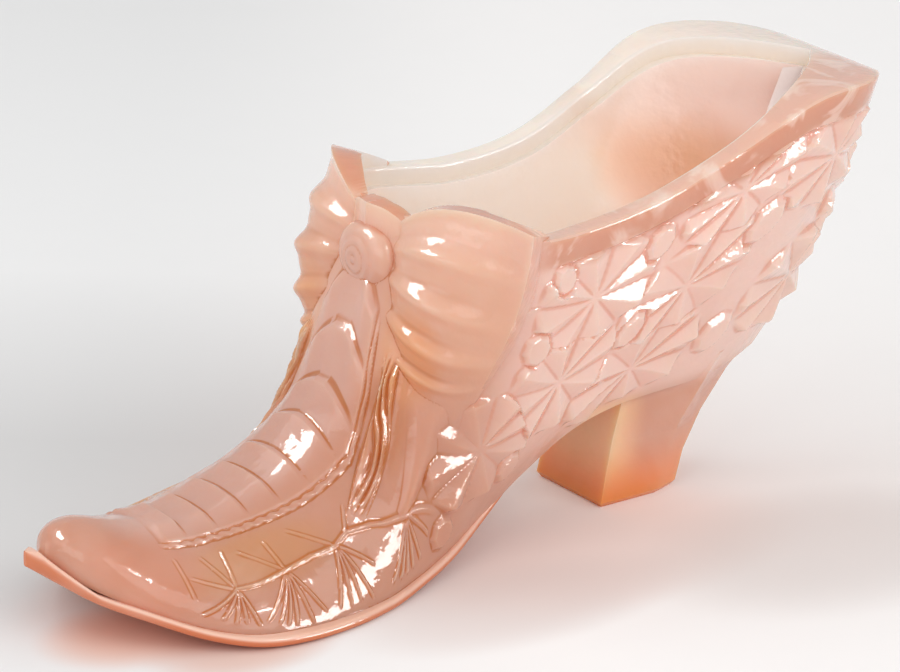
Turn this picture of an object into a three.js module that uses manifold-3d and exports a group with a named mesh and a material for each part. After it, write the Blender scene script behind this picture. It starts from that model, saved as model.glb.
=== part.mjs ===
// Glass slipper: one pressing of opalescent glass, in millimetres, +Z up.
// The toe points to -X and the pointed back corner to +X. The mould seam lies on the plane y = 0.
// Everything is symmetric about that plane, and the ball of the sole and the heel stand on z = 0.
import * as THREE from 'three';
import { mergeVertices } from 'three/addons/utils/BufferGeometryUtils.js';
import Module from 'manifold-3d';

const wasm = await Module();
wasm.setup();

// Upper: four long lines with one point at each station, from the toe to the back corner.
// A station's section is a cubic curve from the foot, drawn by the low and high lines, to the top.
// Each point is [along, half width, height].
const FOOT_LINE = [
  [-69.5, 0.8, 11.4], [-67.3, 4.6, 9.0], [-63.3, 9.2, 6.6], [-56.9, 14.6, 3.8], [-49.1, 19.4, 1.8],
  [-40.8, 21.0, 1.1], [-32.8, 20.6, 1.0], [-25.3, 18.8, 1.3], [-18.8, 16.4, 1.9], [-11.8, 13.8, 3.2],
  [-4.3, 10.9, 5.6], [4.2, 9.2, 9.6], [12.7, 8.7, 13.8], [20.7, 8.6, 15.8], [28.7, 8.6, 16.4],
  [36.7, 7.8, 16.4], [44.7, 5.2, 16.6], [50.9, 2.2, 16.8],
];
const LOW_LINE = [
  [-69.7, 0.9, 12.0], [-67.5, 5.2, 11.4], [-63.9, 9.6, 10.4], [-57.3, 14.4, 8.0], [-49.3, 19.0, 5.8],
  [-40.9, 20.3, 6.1], [-32.7, 20.0, 7.6], [-25.3, 18.8, 10.2], [-18.8, 17.6, 16.0], [-10.9, 17.0, 18.0],
  [-2.1, 15.8, 20.2], [6.7, 14.6, 22.4], [15.7, 13.8, 25.4], [24.7, 13.4, 27.8], [33.7, 12.6, 29.4],
  [43.7, 10.6, 30.4], [54.9, 7.2, 30.4], [63.7, 2.3, 29.8],
];
const HIGH_LINE = [
  [-69.3, 0.8, 12.6], [-67.5, 4.0, 14.6], [-63.7, 6.4, 15.0], [-57.1, 7.4, 13.2], [-48.7, 7.6, 12.6],
  [-40.9, 8.4, 14.4], [-33.1, 8.0, 17.5], [-23.9, 6.9, 24.6], [-17.1, 9.2, 42.4], [-11.5, 16.0, 38.0],
  [-2.7, 18.6, 36.0], [9.1, 17.0, 35.6], [20.1, 16.8, 38.0], [30.7, 17.6, 41.0], [41.7, 17.8, 44.6],
  [52.7, 15.8, 44.8], [61.5, 9.6, 43.4], [67.3, 1.8, 41.2],
];
const TOP_LINE = [
  [-69.1, 0, 13.0], [-67.1, 0, 15.0], [-63.3, 0, 15.3], [-56.7, 0, 13.6], [-48.8, 0, 12.9],
  [-41.1, 0, 14.7], [-33.3, 0.3, 17.5], [-24, 1.0, 26.2], [-14.6, 4.0, 49.4], [-11.7, 11.5, 49.6],
  [-4.8, 20.0, 48.7], [8.2, 18.0, 47.8], [21.2, 17.3, 49.4], [33.7, 18.4, 54.2], [46.2, 19.8, 59.8],
  [58.2, 16.8, 59.8], [66.7, 8.8, 57.6], [71.86, 0.2, 53.3],
];
const STATIONS = TOP_LINE.length - 1;
const STEPS_ALONG = 46;
const STEPS_UP = 9;

// Sole plate: its edge line, thin and turned up to a point at the toe, on the ball's flat.
const SOLE_EDGE = [
  [-72.2, 0.3, 10.6], [-69.7, 3.6, 8.8], [-65.7, 8.2, 6.2], [-61.3, 12.8, 4.4], [-54.1, 18.2, 1.6],
  [-47.9, 21.6, 0.4], [-41.3, 22.8, 0.1], [-33.3, 22.2, 0], [-25.8, 20.2, 0], [-18.9, 17.6, 0.7],
  [-11.9, 14.8, 2.0], [-4.3, 11.3, 4.6], [2.2, 9.0, 8.0],
];
const SOLE_THICKNESS = 1.4;
const TIP_THICKNESS = 2.0;
const TIP_LENGTH = 0.12;
const SOLE_STEPS = 20;

// Heel: six-sided, one row for each level.
// Each row is [height, front, side corner, back, half width, half width of the back face].
const HEEL_LEVELS = [
  [0, 19.9, 29.5, 33.3, 7.1, 5.9], [0.7, 19.5, 29.9, 34.1, 7.6, 6.2], [5, 20.4, 31.1, 35.7, 7.4, 5.8],
  [10, 21.4, 33.5, 39.5, 7.4, 4.9], [15, 22.4, 36.9, 45.3, 7.8, 3.6], [19.6, 23.9, 40.3, 53.3, 8.1, 2.2],
];

// Inside: the plunger's recess under the rim, and the hollow of the foot.
const RIM_WIDTH = 3.0;
const RECESS_DEPTH = 2.6;
const WALL = 3.8;
const FLOOR = 5.0;
const HEEL_FLOOR = 8.0;
const ROOF = 4.0;
const HOLLOW_FRONT = 4.8;
const HOLLOW_BACK = 15.35;
const HOLLOW_STEPS = 24;
const HOLLOW_UP = 6;
const NOSE_LENGTH = 1.3;
const THROAT_BEHIND_KNOT = 1.9;
const THROAT_RISE = 0.7;
const RAMP_START = 9;
const RAMP_END = 14;
const TAPER_START = 12.6;
const TAPER_POWER = 2.4;
const RECESS_FRONT = 9.7;
const CLEAR_ABOVE = 9;

// Relief: heights above the plain skin, and how deep each raised piece is rooted in it.
const ROOT = 1.5;
const PETAL_LIFT = 0.8;
const GROOVE_LIFT = 0.05;
const STAR_CENTRE_LIFT = 0.35;
const BUTTON_LIFT = 0.75;
const BUTTON_TOP = 0.72;
const BUTTON_SIDES = 8;
const BAND_LIFT = 0.5;
const BAND_START = 10.35;
const BAND_FOOT = 0.9;
const BAND_BEVEL = 0.015;
const BAND_STEPS = 20;

// Laced panel: the edges of its bands by station, and its side line as [station, up].
const PANEL_EDGES = [3.3, 3.8, 4.4, 5.0, 5.6, 6.15, 6.65, 7.05, 7.35, 7.65];
const PANEL_SIDE = [[3.3, 0.7], [4.2, 0.71], [5.2, 0.68], [6.1, 0.65], [6.8, 0.63], [7.25, 0.7], [7.65, 0.8]];
const PANEL_LIFT = 0.6;
const PANEL_STEP = 0.8;
const CORD_WIDTH = 0.035;
const CORD_LIFT = 0.9;
const CORD_STEPS = 8;

// Star centres: [station, up, half length, half height].
const PETALS = 8;
const CELL_CORNER = 1.45;
const STARS = [
  [4.02, 0.37, 3.6, 5.0], [5.0, 0.39, 4.4, 6.2], [6.02, 0.4, 5.0, 6.8], [7.5, 0.25, 6.2, 6.2],
  [9.37, 0.3, 8.6, 6.2], [10.87, 0.4, 8.4, 6.4], [11.17, 0.7, 9.0, 6.2], [12.7, 0.2, 9.2, 6.0],
  [12.97, 0.505, 9.4, 6.6], [13.3, 0.81, 8.8, 5.2], [14.95, 0.765, 8.4, 6.6], [16.0, 0.3, 8.8, 6.8],
  [16.5, 0.58, 5.2, 6.2],
];
// Octagonal buttons between the stars: [station, up, radius].
const BUTTONS = [
  [8.55, 0.1, 2.4], [10.2, 0.16, 2.4], [10.25, 0.585, 2.6], [10.6, 0.83, 2.4], [12.12, 0.435, 2.8],
  [12.1, 0.8, 2.6], [14.1, 0.6, 3.6], [14.5, 0.19, 3.4],
];

// Bow loop: its root at the knot and its outer edge, each from the top corner down.
// The crest line runs half-way between them.
const LOOP_ROOT = [[-14.7, 5.0, 49.4], [-15.7, 4.8, 45.4], [-16.7, 4.8, 41.2], [-17.7, 5.0, 36.4]];
const LOOP_CREST = [[-12.1, 13.6, 53.3], [-15.2, 15.0, 46.4], [-17.3, 15.6, 39.5], [-17.1, 14.4, 32.1]];
const LOOP_EDGE = [[-5.5, 22.9, 50.7], [-6.7, 22.6, 43.2], [-8.1, 21.0, 35.7], [-9.3, 18.6, 29.0]];
const LOOP_DEPTH = [[6.2, -2.0, 0], [6.0, -4.4, -2.4]];
const LOOP_ACROSS = 5;
const PLEATS = 4;
const PLEAT_LIFT = 0.5;
const PLEAT_SPAN = [0.15, 0.95];
const PLEAT_LEAN = [-0.8, 0.5];
const THROAT_TAB = [[-16.9, 0, 51.2], [-15.9, 3.2, 50.8], [-14.5, 6.2, 49.2]];
const TAB_DEPTH = 3.6;
const TAB_HEIGHT = 8;

// Knot in the middle of the bow: centre, radii, and the small swirl on its front.
const KNOT_CENTRE = [-16.5, 0, 43.3];
const KNOT_RADII = [3.4, 5.4, 4.4];
const SWIRL = [1.5, 2.3];
const SWIRL_TUBE = 0.5;
const KNOT_FACETS = [12, 8];
const SWIRL_FACETS = [4, 12];

// Tails under the bow. Each row of an edge is [station, up].
const TAIL_INNER = [[8.6, 0.74], [8.1, 0.6], [7.85, 0.5], [7.75, 0.41], [7.55, 0.33], [7.2, 0.27]];
const TAIL_OUTER = [[10.3, 0.74], [9.95, 0.6], [9.5, 0.5], [8.95, 0.43], [8.4, 0.31], [7.7, 0.21]];
const TAIL_LIFT = 1.7;
const TAIL_FULLNESS = 0.6;
const TAIL_ROUND_FROM = 0.4;
const FOLD_INNER = [[7.75, 0.8], [7.5, 0.71], [7.1, 0.65], [6.7, 0.58], [6.35, 0.5]];
const FOLD_OUTER = [[8.3, 0.72], [7.85, 0.58], [7.5, 0.51], [7.15, 0.46], [6.75, 0.41]];
const FOLD_LIFT = 1.1;
const FOLDS = 2;
const FOLD_HOLLOW = 0.4;

const longLine = (points) => new THREE.CatmullRomCurve3(points.map((p) => new THREE.Vector3(...p)));
const UPPER_LINES = [FOOT_LINE, LOW_LINE, HIGH_LINE, TOP_LINE].map(longLine);

// Point of the upper's skin at a station; `up` runs from the foot (0) to the top (1).
function skin(station, up, side) {
  const t = THREE.MathUtils.clamp(station / STATIONS, 0, 1);
  const [foot, low, high, top] = UPPER_LINES.map((line) => line.getPoint(t));
  const p = new THREE.CubicBezierCurve3(foot, low, high, top).getPoint(up);
  p.y = Math.max(p.y, 0) * side;
  return p;
}

// Closed solid through rings of equal length, capped at its first and last rings.
function loft(rings) {
  const n = rings[0].length;
  const index = [];
  for (let r = 0; r + 1 < rings.length; r += 1) {
    for (let k = 0; k < n; k += 1) {
      const a = r * n + k;
      const b = r * n + ((k + 1) % n);
      index.push(a, a + n, b, b, a + n, b + n);
    }
  }
  const last = (rings.length - 1) * n;
  for (let k = 1; k + 1 < n; k += 1) {
    index.push(0, k, k + 1, last, last + k + 1, last + k);
  }
  return triangles(rings.flat(), index);
}

function triangles(points, index) {
  const geometry = new THREE.BufferGeometry();
  const places = points.flatMap((p) => [p.x, p.y, p.z]);
  geometry.setAttribute('position', new THREE.Float32BufferAttribute(places, 3));
  geometry.setIndex(index);
  return geometry;
}

// Solid from a closed mesh: shared points are merged, and faces without area are dropped.
// A mesh wound inside out is turned.
function solid(geometry) {
  const merged = mergeVertices(geometry, 1e-4);
  const source = merged.index.array;
  const index = [];
  for (let k = 0; k < source.length; k += 3) {
    const [a, b, c] = source.subarray(k, k + 3);
    if (a !== b && b !== c && c !== a) index.push(a, b, c);
  }
  const vertProperties = new Float32Array(merged.attributes.position.array);
  const build = (triVerts) => new wasm.Manifold(new wasm.Mesh({ numProp: 3, vertProperties, triVerts }));
  const made = build(new Uint32Array(index));
  return made.volume() > 0 ? made : build(new Uint32Array(index).reverse());
}

const joinAll = (solids) => solids.reduce((sum, next) => sum.add(next));
const bothSides = (make) => joinAll([-1, 1].flatMap((side) => make(side)));

// Skin of both sides over the whole length, closed straight across at the top and the sole.
function upper() {
  const rings = [];
  for (let r = 0; r <= STEPS_ALONG; r += 1) {
    const station = (r / STEPS_ALONG) * STATIONS;
    const half = (side) => Array.from({ length: STEPS_UP + 1 }, (_, k) => skin(station, k / STEPS_UP, side));
    rings.push([...half(-1), ...half(1).reverse()]);
  }
  return solid(loft(rings));
}

function solePlate() {
  const edge = longLine(SOLE_EDGE);
  const rings = [];
  for (let r = 0; r <= SOLE_STEPS; r += 1) {
    const { x, y, z } = edge.getPoint(r / SOLE_STEPS);
    const fromTip = Math.min(r / SOLE_STEPS / TIP_LENGTH, 1);
    const low = Math.max(z, 0);
    const high = low + THREE.MathUtils.lerp(TIP_THICKNESS, SOLE_THICKNESS, fromTip);
    rings.push([
      new THREE.Vector3(x, -y, low), new THREE.Vector3(x, -y, high),
      new THREE.Vector3(x, y, high), new THREE.Vector3(x, y, low),
    ]);
  }
  return solid(loft(rings));
}

function heel() {
  const ring = ([z, front, corner, back, half, backHalf]) => [
    [front, -half], [corner, -half], [back, -backHalf], [back, backHalf], [corner, half], [front, half],
  ].map(([x, y]) => new THREE.Vector3(x, y, z));
  return solid(loft(HEEL_LEVELS.map(ring)));
}

// Share of the inside width left at a station: it closes to a sharp corner at the back.
function insideShare(station) {
  const tail = Math.max((station - TAPER_START) / (HOLLOW_BACK - TAPER_START), 0);
  return Math.max(1 - tail ** TAPER_POWER, 0);
}

// Station at which the top line reaches the given x.
function stationAt(x) {
  let [before, after] = [0, STATIONS];
  for (let k = 0; k < 24; k += 1) {
    const middle = (before + after) / 2;
    if (skin(middle, 1, 1).x < x) before = middle;
    else after = middle;
  }
  return before;
}

// Hollow of the foot: the skin's section drawn in by the wall, over the floor.
// It rises through the opening behind the throat.
function hollow() {
  const { lerp, smoothstep } = THREE.MathUtils;
  const throat = stationAt(KNOT_CENTRE[0] + THROAT_BEHIND_KNOT);
  const rings = [];
  for (let r = 0; r <= HOLLOW_STEPS; r += 1) {
    const station = lerp(HOLLOW_FRONT, HOLLOW_BACK, r / HOLLOW_STEPS);
    const nose = Math.sqrt(1 - (1 - Math.min((station - HOLLOW_FRONT) / NOSE_LENGTH, 1)) ** 2);
    const [foot, top] = [skin(station, 0, 1), skin(station, 1, 1)];
    const floor = foot.z + lerp(FLOOR, HEEL_FLOOR, smoothstep(station, RAMP_START, RAMP_END));
    const open = smoothstep(station, throat, throat + THROAT_RISE);
    const ceiling = Math.max(top.z - ROOF * (1 - open), floor + 1);
    const middle = (floor + ceiling) / 2;
    const half = (side) => Array.from({ length: HOLLOW_UP + 2 }, (_, k) => {
      const p = skin(station, Math.min(k / HOLLOW_UP, 1), 1);
      const rise = (p.z - foot.z) / (top.z - foot.z);
      const width = Math.max(p.y - WALL, 0) * nose * insideShare(station);
      const z = lerp(floor, ceiling, rise) + (k > HOLLOW_UP ? CLEAR_ABOVE * open : 0);
      return new THREE.Vector3(p.x, width * side, lerp(middle, z, Math.max(nose, 0.05)));
    });
    rings.push([...half(-1), ...half(1).reverse()]);
  }
  return solid(loft(rings));
}

// Shallow ledge inside the rim, as the plunger's collar leaves it.
function rimRecess() {
  const rings = [];
  for (let r = 0; r <= HOLLOW_STEPS; r += 1) {
    const station = THREE.MathUtils.lerp(RECESS_FRONT, HOLLOW_BACK, r / HOLLOW_STEPS);
    const { x, y, z } = skin(station, 1, 1);
    const half = Math.max((y - RIM_WIDTH) * insideShare(station), 0.02);
    const at = (side, dz) => new THREE.Vector3(x, half * side, z + dz);
    rings.push([at(-1, -RECESS_DEPTH), at(-1, CLEAR_ABOVE), at(1, CLEAR_ABOVE), at(1, -RECESS_DEPTH)]);
  }
  return solid(loft(rings));
}

// Point lifted off the skin along its outward normal, or sunk under it when `lift` is negative.
function lifted(station, up, side, lift) {
  const step = 0.02;
  const p = skin(station, up, side);
  const alongBy = skin(station + step, up, side).sub(skin(station - step, up, side));
  const upBy = skin(station, Math.min(up + step, 1), side).sub(skin(station, up - step, side));
  const normal = alongBy.cross(upBy).normalize().multiplyScalar(-side);
  if (p.y === 0) normal.setY(0).normalize();
  return p.addScaledVector(normal, lift);
}

// Raised piece: rows of [station, up, side, lift] on the skin, rooted under it.
function raised(rows, depth = ROOT) {
  return solid(loft(rows.map((row) => [
    ...row.map((p) => lifted(...p)),
    ...row.map(([station, up, side]) => lifted(station, up, side, -depth)).reverse(),
  ])));
}

// Fan of flat petals about a centre, with a groove between each pair.
function star([station, up, halfLong, halfHigh], side) {
  const step = 0.05;
  const perStation = skin(station + step, up, side).distanceTo(skin(station - step, up, side)) / (2 * step);
  const perUp = skin(station, up + step, side).distanceTo(skin(station, up - step, side)) / (2 * step);
  const rim = [];
  for (let k = 0; k < 2 * PETALS; k += 1) {
    const angle = ((k + 0.5) / PETALS) * Math.PI;
    const [across, rise] = [Math.abs(Math.cos(angle)), Math.abs(Math.sin(angle))];
    const reach = 1 / Math.max(across, rise, (across + rise) / CELL_CORNER);
    const u = station + (reach * halfLong * Math.cos(angle)) / perStation;
    const v = up + (reach * halfHigh * Math.sin(angle)) / perUp;
    const lift = k % 2 === 0 ? PETAL_LIFT : GROOVE_LIFT;
    rim.push([Math.min(u, STATIONS - 0.02), THREE.MathUtils.clamp(v, 0.02, 0.98), side, lift]);
  }
  const ring = (depth) => rim.map(([u, v, s, lift]) => lifted(u, v, s, depth === 0 ? lift : -depth));
  const centre = (lift) => rim.map(() => lifted(station, up, side, lift));
  return solid(loft([centre(STAR_CENTRE_LIFT), ring(0), ring(ROOT), centre(-ROOT)]));
}

// Flat-topped octagonal button.
function button([station, up, radius], side) {
  const step = 0.05;
  const perStation = skin(station + step, up, side).distanceTo(skin(station - step, up, side)) / (2 * step);
  const perUp = skin(station, up + step, side).distanceTo(skin(station, up - step, side)) / (2 * step);
  const ring = (size, lift) => Array.from({ length: BUTTON_SIDES }, (_, k) => {
    const angle = ((k + 0.5) / BUTTON_SIDES) * 2 * Math.PI;
    const u = station + (radius * size * Math.cos(angle)) / perStation;
    return lifted(u, Math.max(up + (radius * size * Math.sin(angle)) / perUp, 0.01), side, lift);
  });
  return solid(loft([ring(1, -ROOT), ring(1, GROOVE_LIFT), ring(BUTTON_TOP, BUTTON_LIFT)]));
}

// Plain band round the rim.
function rimBand(side) {
  const rows = [];
  for (let r = 0; r <= BAND_STEPS; r += 1) {
    const station = THREE.MathUtils.lerp(BAND_START, STATIONS - 0.01, r / BAND_STEPS);
    const lift = BAND_LIFT * Math.min(1, 0.3 + r / 3);
    const foot = [station, BAND_FOOT - BAND_BEVEL, side, 0];
    rows.push([foot, [station, BAND_FOOT, side, lift], [station, 1, side, lift]]);
  }
  return raised(rows);
}

// Height on the section of the panel's side line, at a station.
function panelSide(station) {
  const next = Math.max(PANEL_SIDE.findIndex(([at]) => at >= station), 1);
  const [[s0, up0], [s1, up1]] = [PANEL_SIDE[next - 1], PANEL_SIDE[next]];
  return THREE.MathUtils.mapLinear(station, s0, s1, up0, up1);
}

// Laced panel down the front: overlapping bands, each rising to its rear edge.
// The step is full along the crest and fades out at the sides.
function panel() {
  const rows = [];
  for (let b = 0; b + 1 < PANEL_EDGES.length; b += 1) {
    for (const part of [0.03, 0.9]) {
      const station = THREE.MathUtils.lerp(PANEL_EDGES[b], PANEL_EDGES[b + 1], part);
      const reach = 1 - panelSide(station);
      const half = (side) => [1, 0.8, 0.4, 0].map((a) => {
        const lift = PANEL_LIFT + PANEL_STEP * (part - 0.5) * (1 - a);
        return [station, 1 - a * reach, side, a === 1 ? 0 : lift];
      });
      rows.push([...half(-1), ...half(1).reverse()]);
    }
  }
  return raised(rows);
}

// Cord along the panel's side.
function panelCord(side) {
  const rows = [];
  for (let r = 0; r <= CORD_STEPS; r += 1) {
    const station = THREE.MathUtils.lerp(PANEL_EDGES[0], PANEL_EDGES.at(-1), r / CORD_STEPS);
    const up = panelSide(station);
    rows.push([-1, 0, 1].map((a) => [station, up + a * CORD_WIDTH, side, a === 0 ? CORD_LIFT : 0]));
  }
  return raised(rows);
}

// Strip between two edges drawn on the skin; `liftAt(across, along)` gives its height.
function strip(inner, outer, side, liftAt, steps = 9, wide = 6) {
  const [a, b] = [inner, outer].map((edge) => longLine(edge.map(([u, v]) => [u, v, 0])));
  const rows = [];
  for (let r = 0; r <= steps; r += 1) {
    const [p, q] = [a.getPoint(r / steps), b.getPoint(r / steps)];
    rows.push(Array.from({ length: wide + 1 }, (_, k) => {
      const at = p.clone().lerp(q, k / wide);
      return [at.x, at.y, side, liftAt(k / wide, r / steps)];
    }));
  }
  return raised(rows, 2);
}

function tail(side) {
  const rounded = (across, along) => {
    const toEnd = Math.max((along - TAIL_ROUND_FROM) / (1 - TAIL_ROUND_FROM), 0);
    return TAIL_LIFT * Math.sin(Math.PI * across) ** TAIL_FULLNESS * Math.sqrt(1 - toEnd ** 4);
  };
  return strip(TAIL_INNER, TAIL_OUTER, side, rounded);
}

function foldedTail(side) {
  const folded = (across, along) => {
    const edge = Math.min(1, 6 * across, 6 * (1 - across), 8 * (1 - along));
    return FOLD_LIFT * edge * (1 - FOLD_HOLLOW * (1 - Math.cos(2 * Math.PI * FOLDS * across)));
  };
  return strip(FOLD_INNER, FOLD_OUTER, side, folded, 5, 8);
}

// Bow loop: soft pleats that fan out from the knot, over a back face inside the wall.
function bowLoop(side) {
  const [root, crest, edge] = [LOOP_ROOT, LOOP_CREST, LOOP_EDGE].map(longLine);
  const rows = [];
  const steps = 4 * PLEATS;
  const [rootDepth, edgeDepth] = LOOP_DEPTH.map((d) => new THREE.Vector3(...d));
  for (let r = 0; r <= steps; r += 1) {
    const [a, b, c] = [root, crest, edge].map((line) => line.getPoint(r / steps));
    const fold = Math.cos(2 * Math.PI * PLEATS * (r / steps));
    const control = b.clone().multiplyScalar(2).sub(a.clone().add(c).multiplyScalar(0.5));
    const curve = new THREE.QuadraticBezierCurve3(a, control, c);
    const front = curve.getPoints(LOOP_ACROSS).map((p, k) => {
      const across = THREE.MathUtils.lerp(...PLEAT_SPAN, k / LOOP_ACROSS);
      const pleat = PLEAT_LIFT * fold * Math.sin(Math.PI * across);
      return new THREE.Vector3(p.x + PLEAT_LEAN[0] * pleat, p.y + PLEAT_LEAN[1] * pleat, p.z);
    });
    const depth = (k) => rootDepth.clone().lerp(edgeDepth, k / LOOP_ACROSS);
    const back = front.map((p, k) => p.clone().add(depth(k))).reverse();
    rows.push([...front, ...back].map((p) => p.setY(Math.max(p.y, 0.4) * side)));
  }
  return solid(loft(rows));
}

// Low tab of the throat between the two loops.
function throatTab(side) {
  const edge = longLine(THROAT_TAB);
  const rows = [];
  for (let r = 0; r <= 5; r += 1) {
    const { x, y, z } = edge.getPoint(r / 5);
    const at = (dx, dz) => new THREE.Vector3(x + dx, (y - 0.1 * (r === 0 ? 1 : 0)) * side, z + dz);
    rows.push([at(0, 0), at(TAB_DEPTH, 0), at(TAB_DEPTH, -TAB_HEIGHT), at(-0.6, -TAB_HEIGHT)]);
  }
  return solid(loft(rows));
}

// Oval knot with a small swirl on its front.
function knot() {
  const [rx, ry, rz] = KNOT_RADII;
  const ball = new THREE.SphereGeometry(1, ...KNOT_FACETS).scale(rx, ry, rz).translate(...KNOT_CENTRE);
  const swirl = new THREE.TorusGeometry(SWIRL[0], SWIRL_TUBE, ...SWIRL_FACETS);
  swirl.scale(1, SWIRL[1] / SWIRL[0], 1).rotateY(-Math.PI / 2);
  swirl.translate(KNOT_CENTRE[0] - rx + SWIRL_TUBE / 2, 0, KNOT_CENTRE[2]);
  return solid(bare(ball)).add(solid(bare(swirl)));
}

function bare(geometry) {
  geometry.deleteAttribute('normal');
  geometry.deleteAttribute('uv');
  return geometry;
}

const outside = joinAll([
  upper(),
  solePlate(),
  heel(),
  panel(),
  knot(),
  bothSides((side) => [
    ...STARS.map((at) => star(at, side)),
    ...BUTTONS.map((at) => button(at, side)),
    rimBand(side),
    panelCord(side),
    tail(side),
    foldedTail(side),
    bowLoop(side),
    throatTab(side),
  ]),
]);
const body = outside.subtract(hollow()).subtract(rimRecess());

function toGeometry(manifold) {
  const { vertProperties, triVerts } = manifold.getMesh();
  const geometry = new THREE.BufferGeometry();
  geometry.setAttribute('position', new THREE.Float32BufferAttribute(vertProperties, 3));
  geometry.setIndex(Array.from(triVerts));
  return geometry;
}

const glass = new THREE.MeshStandardMaterial({ color: 0xe2b4a0, roughness: 0.08, metalness: 0 });
const slipper = new THREE.Mesh(toGeometry(body), glass);
slipper.name = 'slipper';
const group = new THREE.Group();
group.add(slipper);
export default group;
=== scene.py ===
"""Looks of the glass slipper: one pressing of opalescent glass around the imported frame.

Shapes are worked out in millimetres in the frame's axes and turned into metres when a mesh is made.
The toe points to -X, the pointed back corner to +X, and both halves mirror about y = 0.
"""

import math

import bmesh
import bpy
import numpy as np
from mathutils import Matrix, Vector


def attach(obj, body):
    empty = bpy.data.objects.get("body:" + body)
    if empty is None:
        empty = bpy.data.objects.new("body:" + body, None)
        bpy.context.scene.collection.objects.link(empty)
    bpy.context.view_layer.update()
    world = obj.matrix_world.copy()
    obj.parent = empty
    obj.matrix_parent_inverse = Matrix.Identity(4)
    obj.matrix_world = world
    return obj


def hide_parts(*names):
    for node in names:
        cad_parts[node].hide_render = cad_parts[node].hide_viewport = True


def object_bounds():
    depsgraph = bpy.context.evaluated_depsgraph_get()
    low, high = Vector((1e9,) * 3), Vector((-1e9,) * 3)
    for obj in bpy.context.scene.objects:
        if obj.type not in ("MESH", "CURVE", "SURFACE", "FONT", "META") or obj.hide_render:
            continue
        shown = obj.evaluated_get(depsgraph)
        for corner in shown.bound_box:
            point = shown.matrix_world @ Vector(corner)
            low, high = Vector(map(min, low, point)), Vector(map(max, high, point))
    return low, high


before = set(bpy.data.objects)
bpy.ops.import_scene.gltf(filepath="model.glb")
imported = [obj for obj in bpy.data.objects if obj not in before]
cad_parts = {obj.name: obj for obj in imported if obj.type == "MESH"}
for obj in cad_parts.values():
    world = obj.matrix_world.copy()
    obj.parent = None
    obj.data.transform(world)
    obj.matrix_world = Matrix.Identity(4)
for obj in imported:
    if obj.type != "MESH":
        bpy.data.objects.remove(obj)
CAD_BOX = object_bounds()
MM = 0.001
# Room that the shapes leave to the sides of the solid's box, in millimetres.
CAD_MARGIN = 0.02

# Four long lines of the upper, one point at each station from the toe to the back corner.
# Each point is [along, half width, height], as in the part's source.
FOOT_LINE = [
    [-69.5, 0.8, 11.4], [-67.3, 4.6, 9.0], [-63.3, 9.2, 6.6], [-56.9, 14.6, 3.8], [-49.1, 19.4, 1.8],
    [-40.8, 21.0, 1.1], [-32.8, 20.6, 1.0], [-25.3, 18.8, 1.3], [-18.8, 16.4, 1.9], [-11.8, 13.8, 3.2],
    [-4.3, 10.9, 5.6], [4.2, 9.2, 9.6], [12.7, 8.7, 13.8], [20.7, 8.6, 15.8], [28.7, 8.6, 16.4],
    [36.7, 7.8, 16.4], [44.7, 5.2, 16.6], [50.9, 2.2, 16.8],
]
LOW_LINE = [
    [-69.7, 0.9, 12.0], [-67.5, 5.2, 11.4], [-63.9, 9.6, 10.4], [-57.3, 14.4, 8.0], [-49.3, 19.0, 5.8],
    [-40.9, 20.3, 6.1], [-32.7, 20.0, 7.6], [-25.3, 18.8, 10.2], [-18.8, 17.6, 16.0], [-10.9, 17.0, 18.0],
    [-2.1, 15.8, 20.2], [6.7, 14.6, 22.4], [15.7, 13.8, 25.4], [24.7, 13.4, 27.8], [33.7, 12.6, 29.4],
    [43.7, 10.6, 30.4], [54.9, 7.2, 30.4], [63.7, 2.3, 29.8],
]
HIGH_LINE = [
    [-69.3, 0.8, 12.6], [-67.5, 4.0, 14.6], [-63.7, 6.4, 15.0], [-57.1, 7.4, 13.2], [-48.7, 7.6, 12.6],
    [-40.9, 8.4, 14.4], [-33.1, 8.0, 17.5], [-23.9, 6.9, 24.6], [-17.1, 9.2, 42.4], [-11.5, 16.0, 38.0],
    [-2.7, 18.6, 36.0], [9.1, 17.0, 35.6], [20.1, 16.8, 38.0], [30.7, 17.6, 41.0], [41.7, 17.8, 44.6],
    [52.7, 15.8, 44.8], [61.5, 9.6, 43.4], [67.3, 1.8, 41.2],
]
TOP_LINE = [
    [-69.1, 0, 13.0], [-67.1, 0, 15.0], [-63.3, 0, 15.3], [-56.7, 0, 13.6], [-48.8, 0, 12.9],
    [-41.1, 0, 14.7], [-33.3, 0.3, 17.5], [-24, 1.0, 26.2], [-14.6, 4.0, 49.4], [-11.7, 11.5, 49.6],
    [-4.8, 20.0, 48.7], [8.2, 18.0, 47.8], [21.2, 17.3, 49.4], [33.7, 18.4, 54.2], [46.2, 19.8, 59.8],
    [58.2, 16.8, 59.8], [66.7, 8.8, 57.6], [71.86, 0.2, 53.3],
]
STATIONS = len(TOP_LINE) - 1
# Rows of the skin: [from station, to station, rows], finest over the foot's thin rays.
ROWS = [[0, 3.1, 70], [3.1, 8.6, 380], [8.6, 17, 300]]
STEPS_UP = 180
RIM_ROUND = 0.5
RIM_ROUND_STEPS = 4
# A point this near to the middle plane counts as on it.
ON_MIDDLE = 1e-6
# Points nearer than WELD become one and edges shorter than LEAST_EDGE go, both in metres.
WELD = 1e-7
LEAST_EDGE = 1e-8

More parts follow.
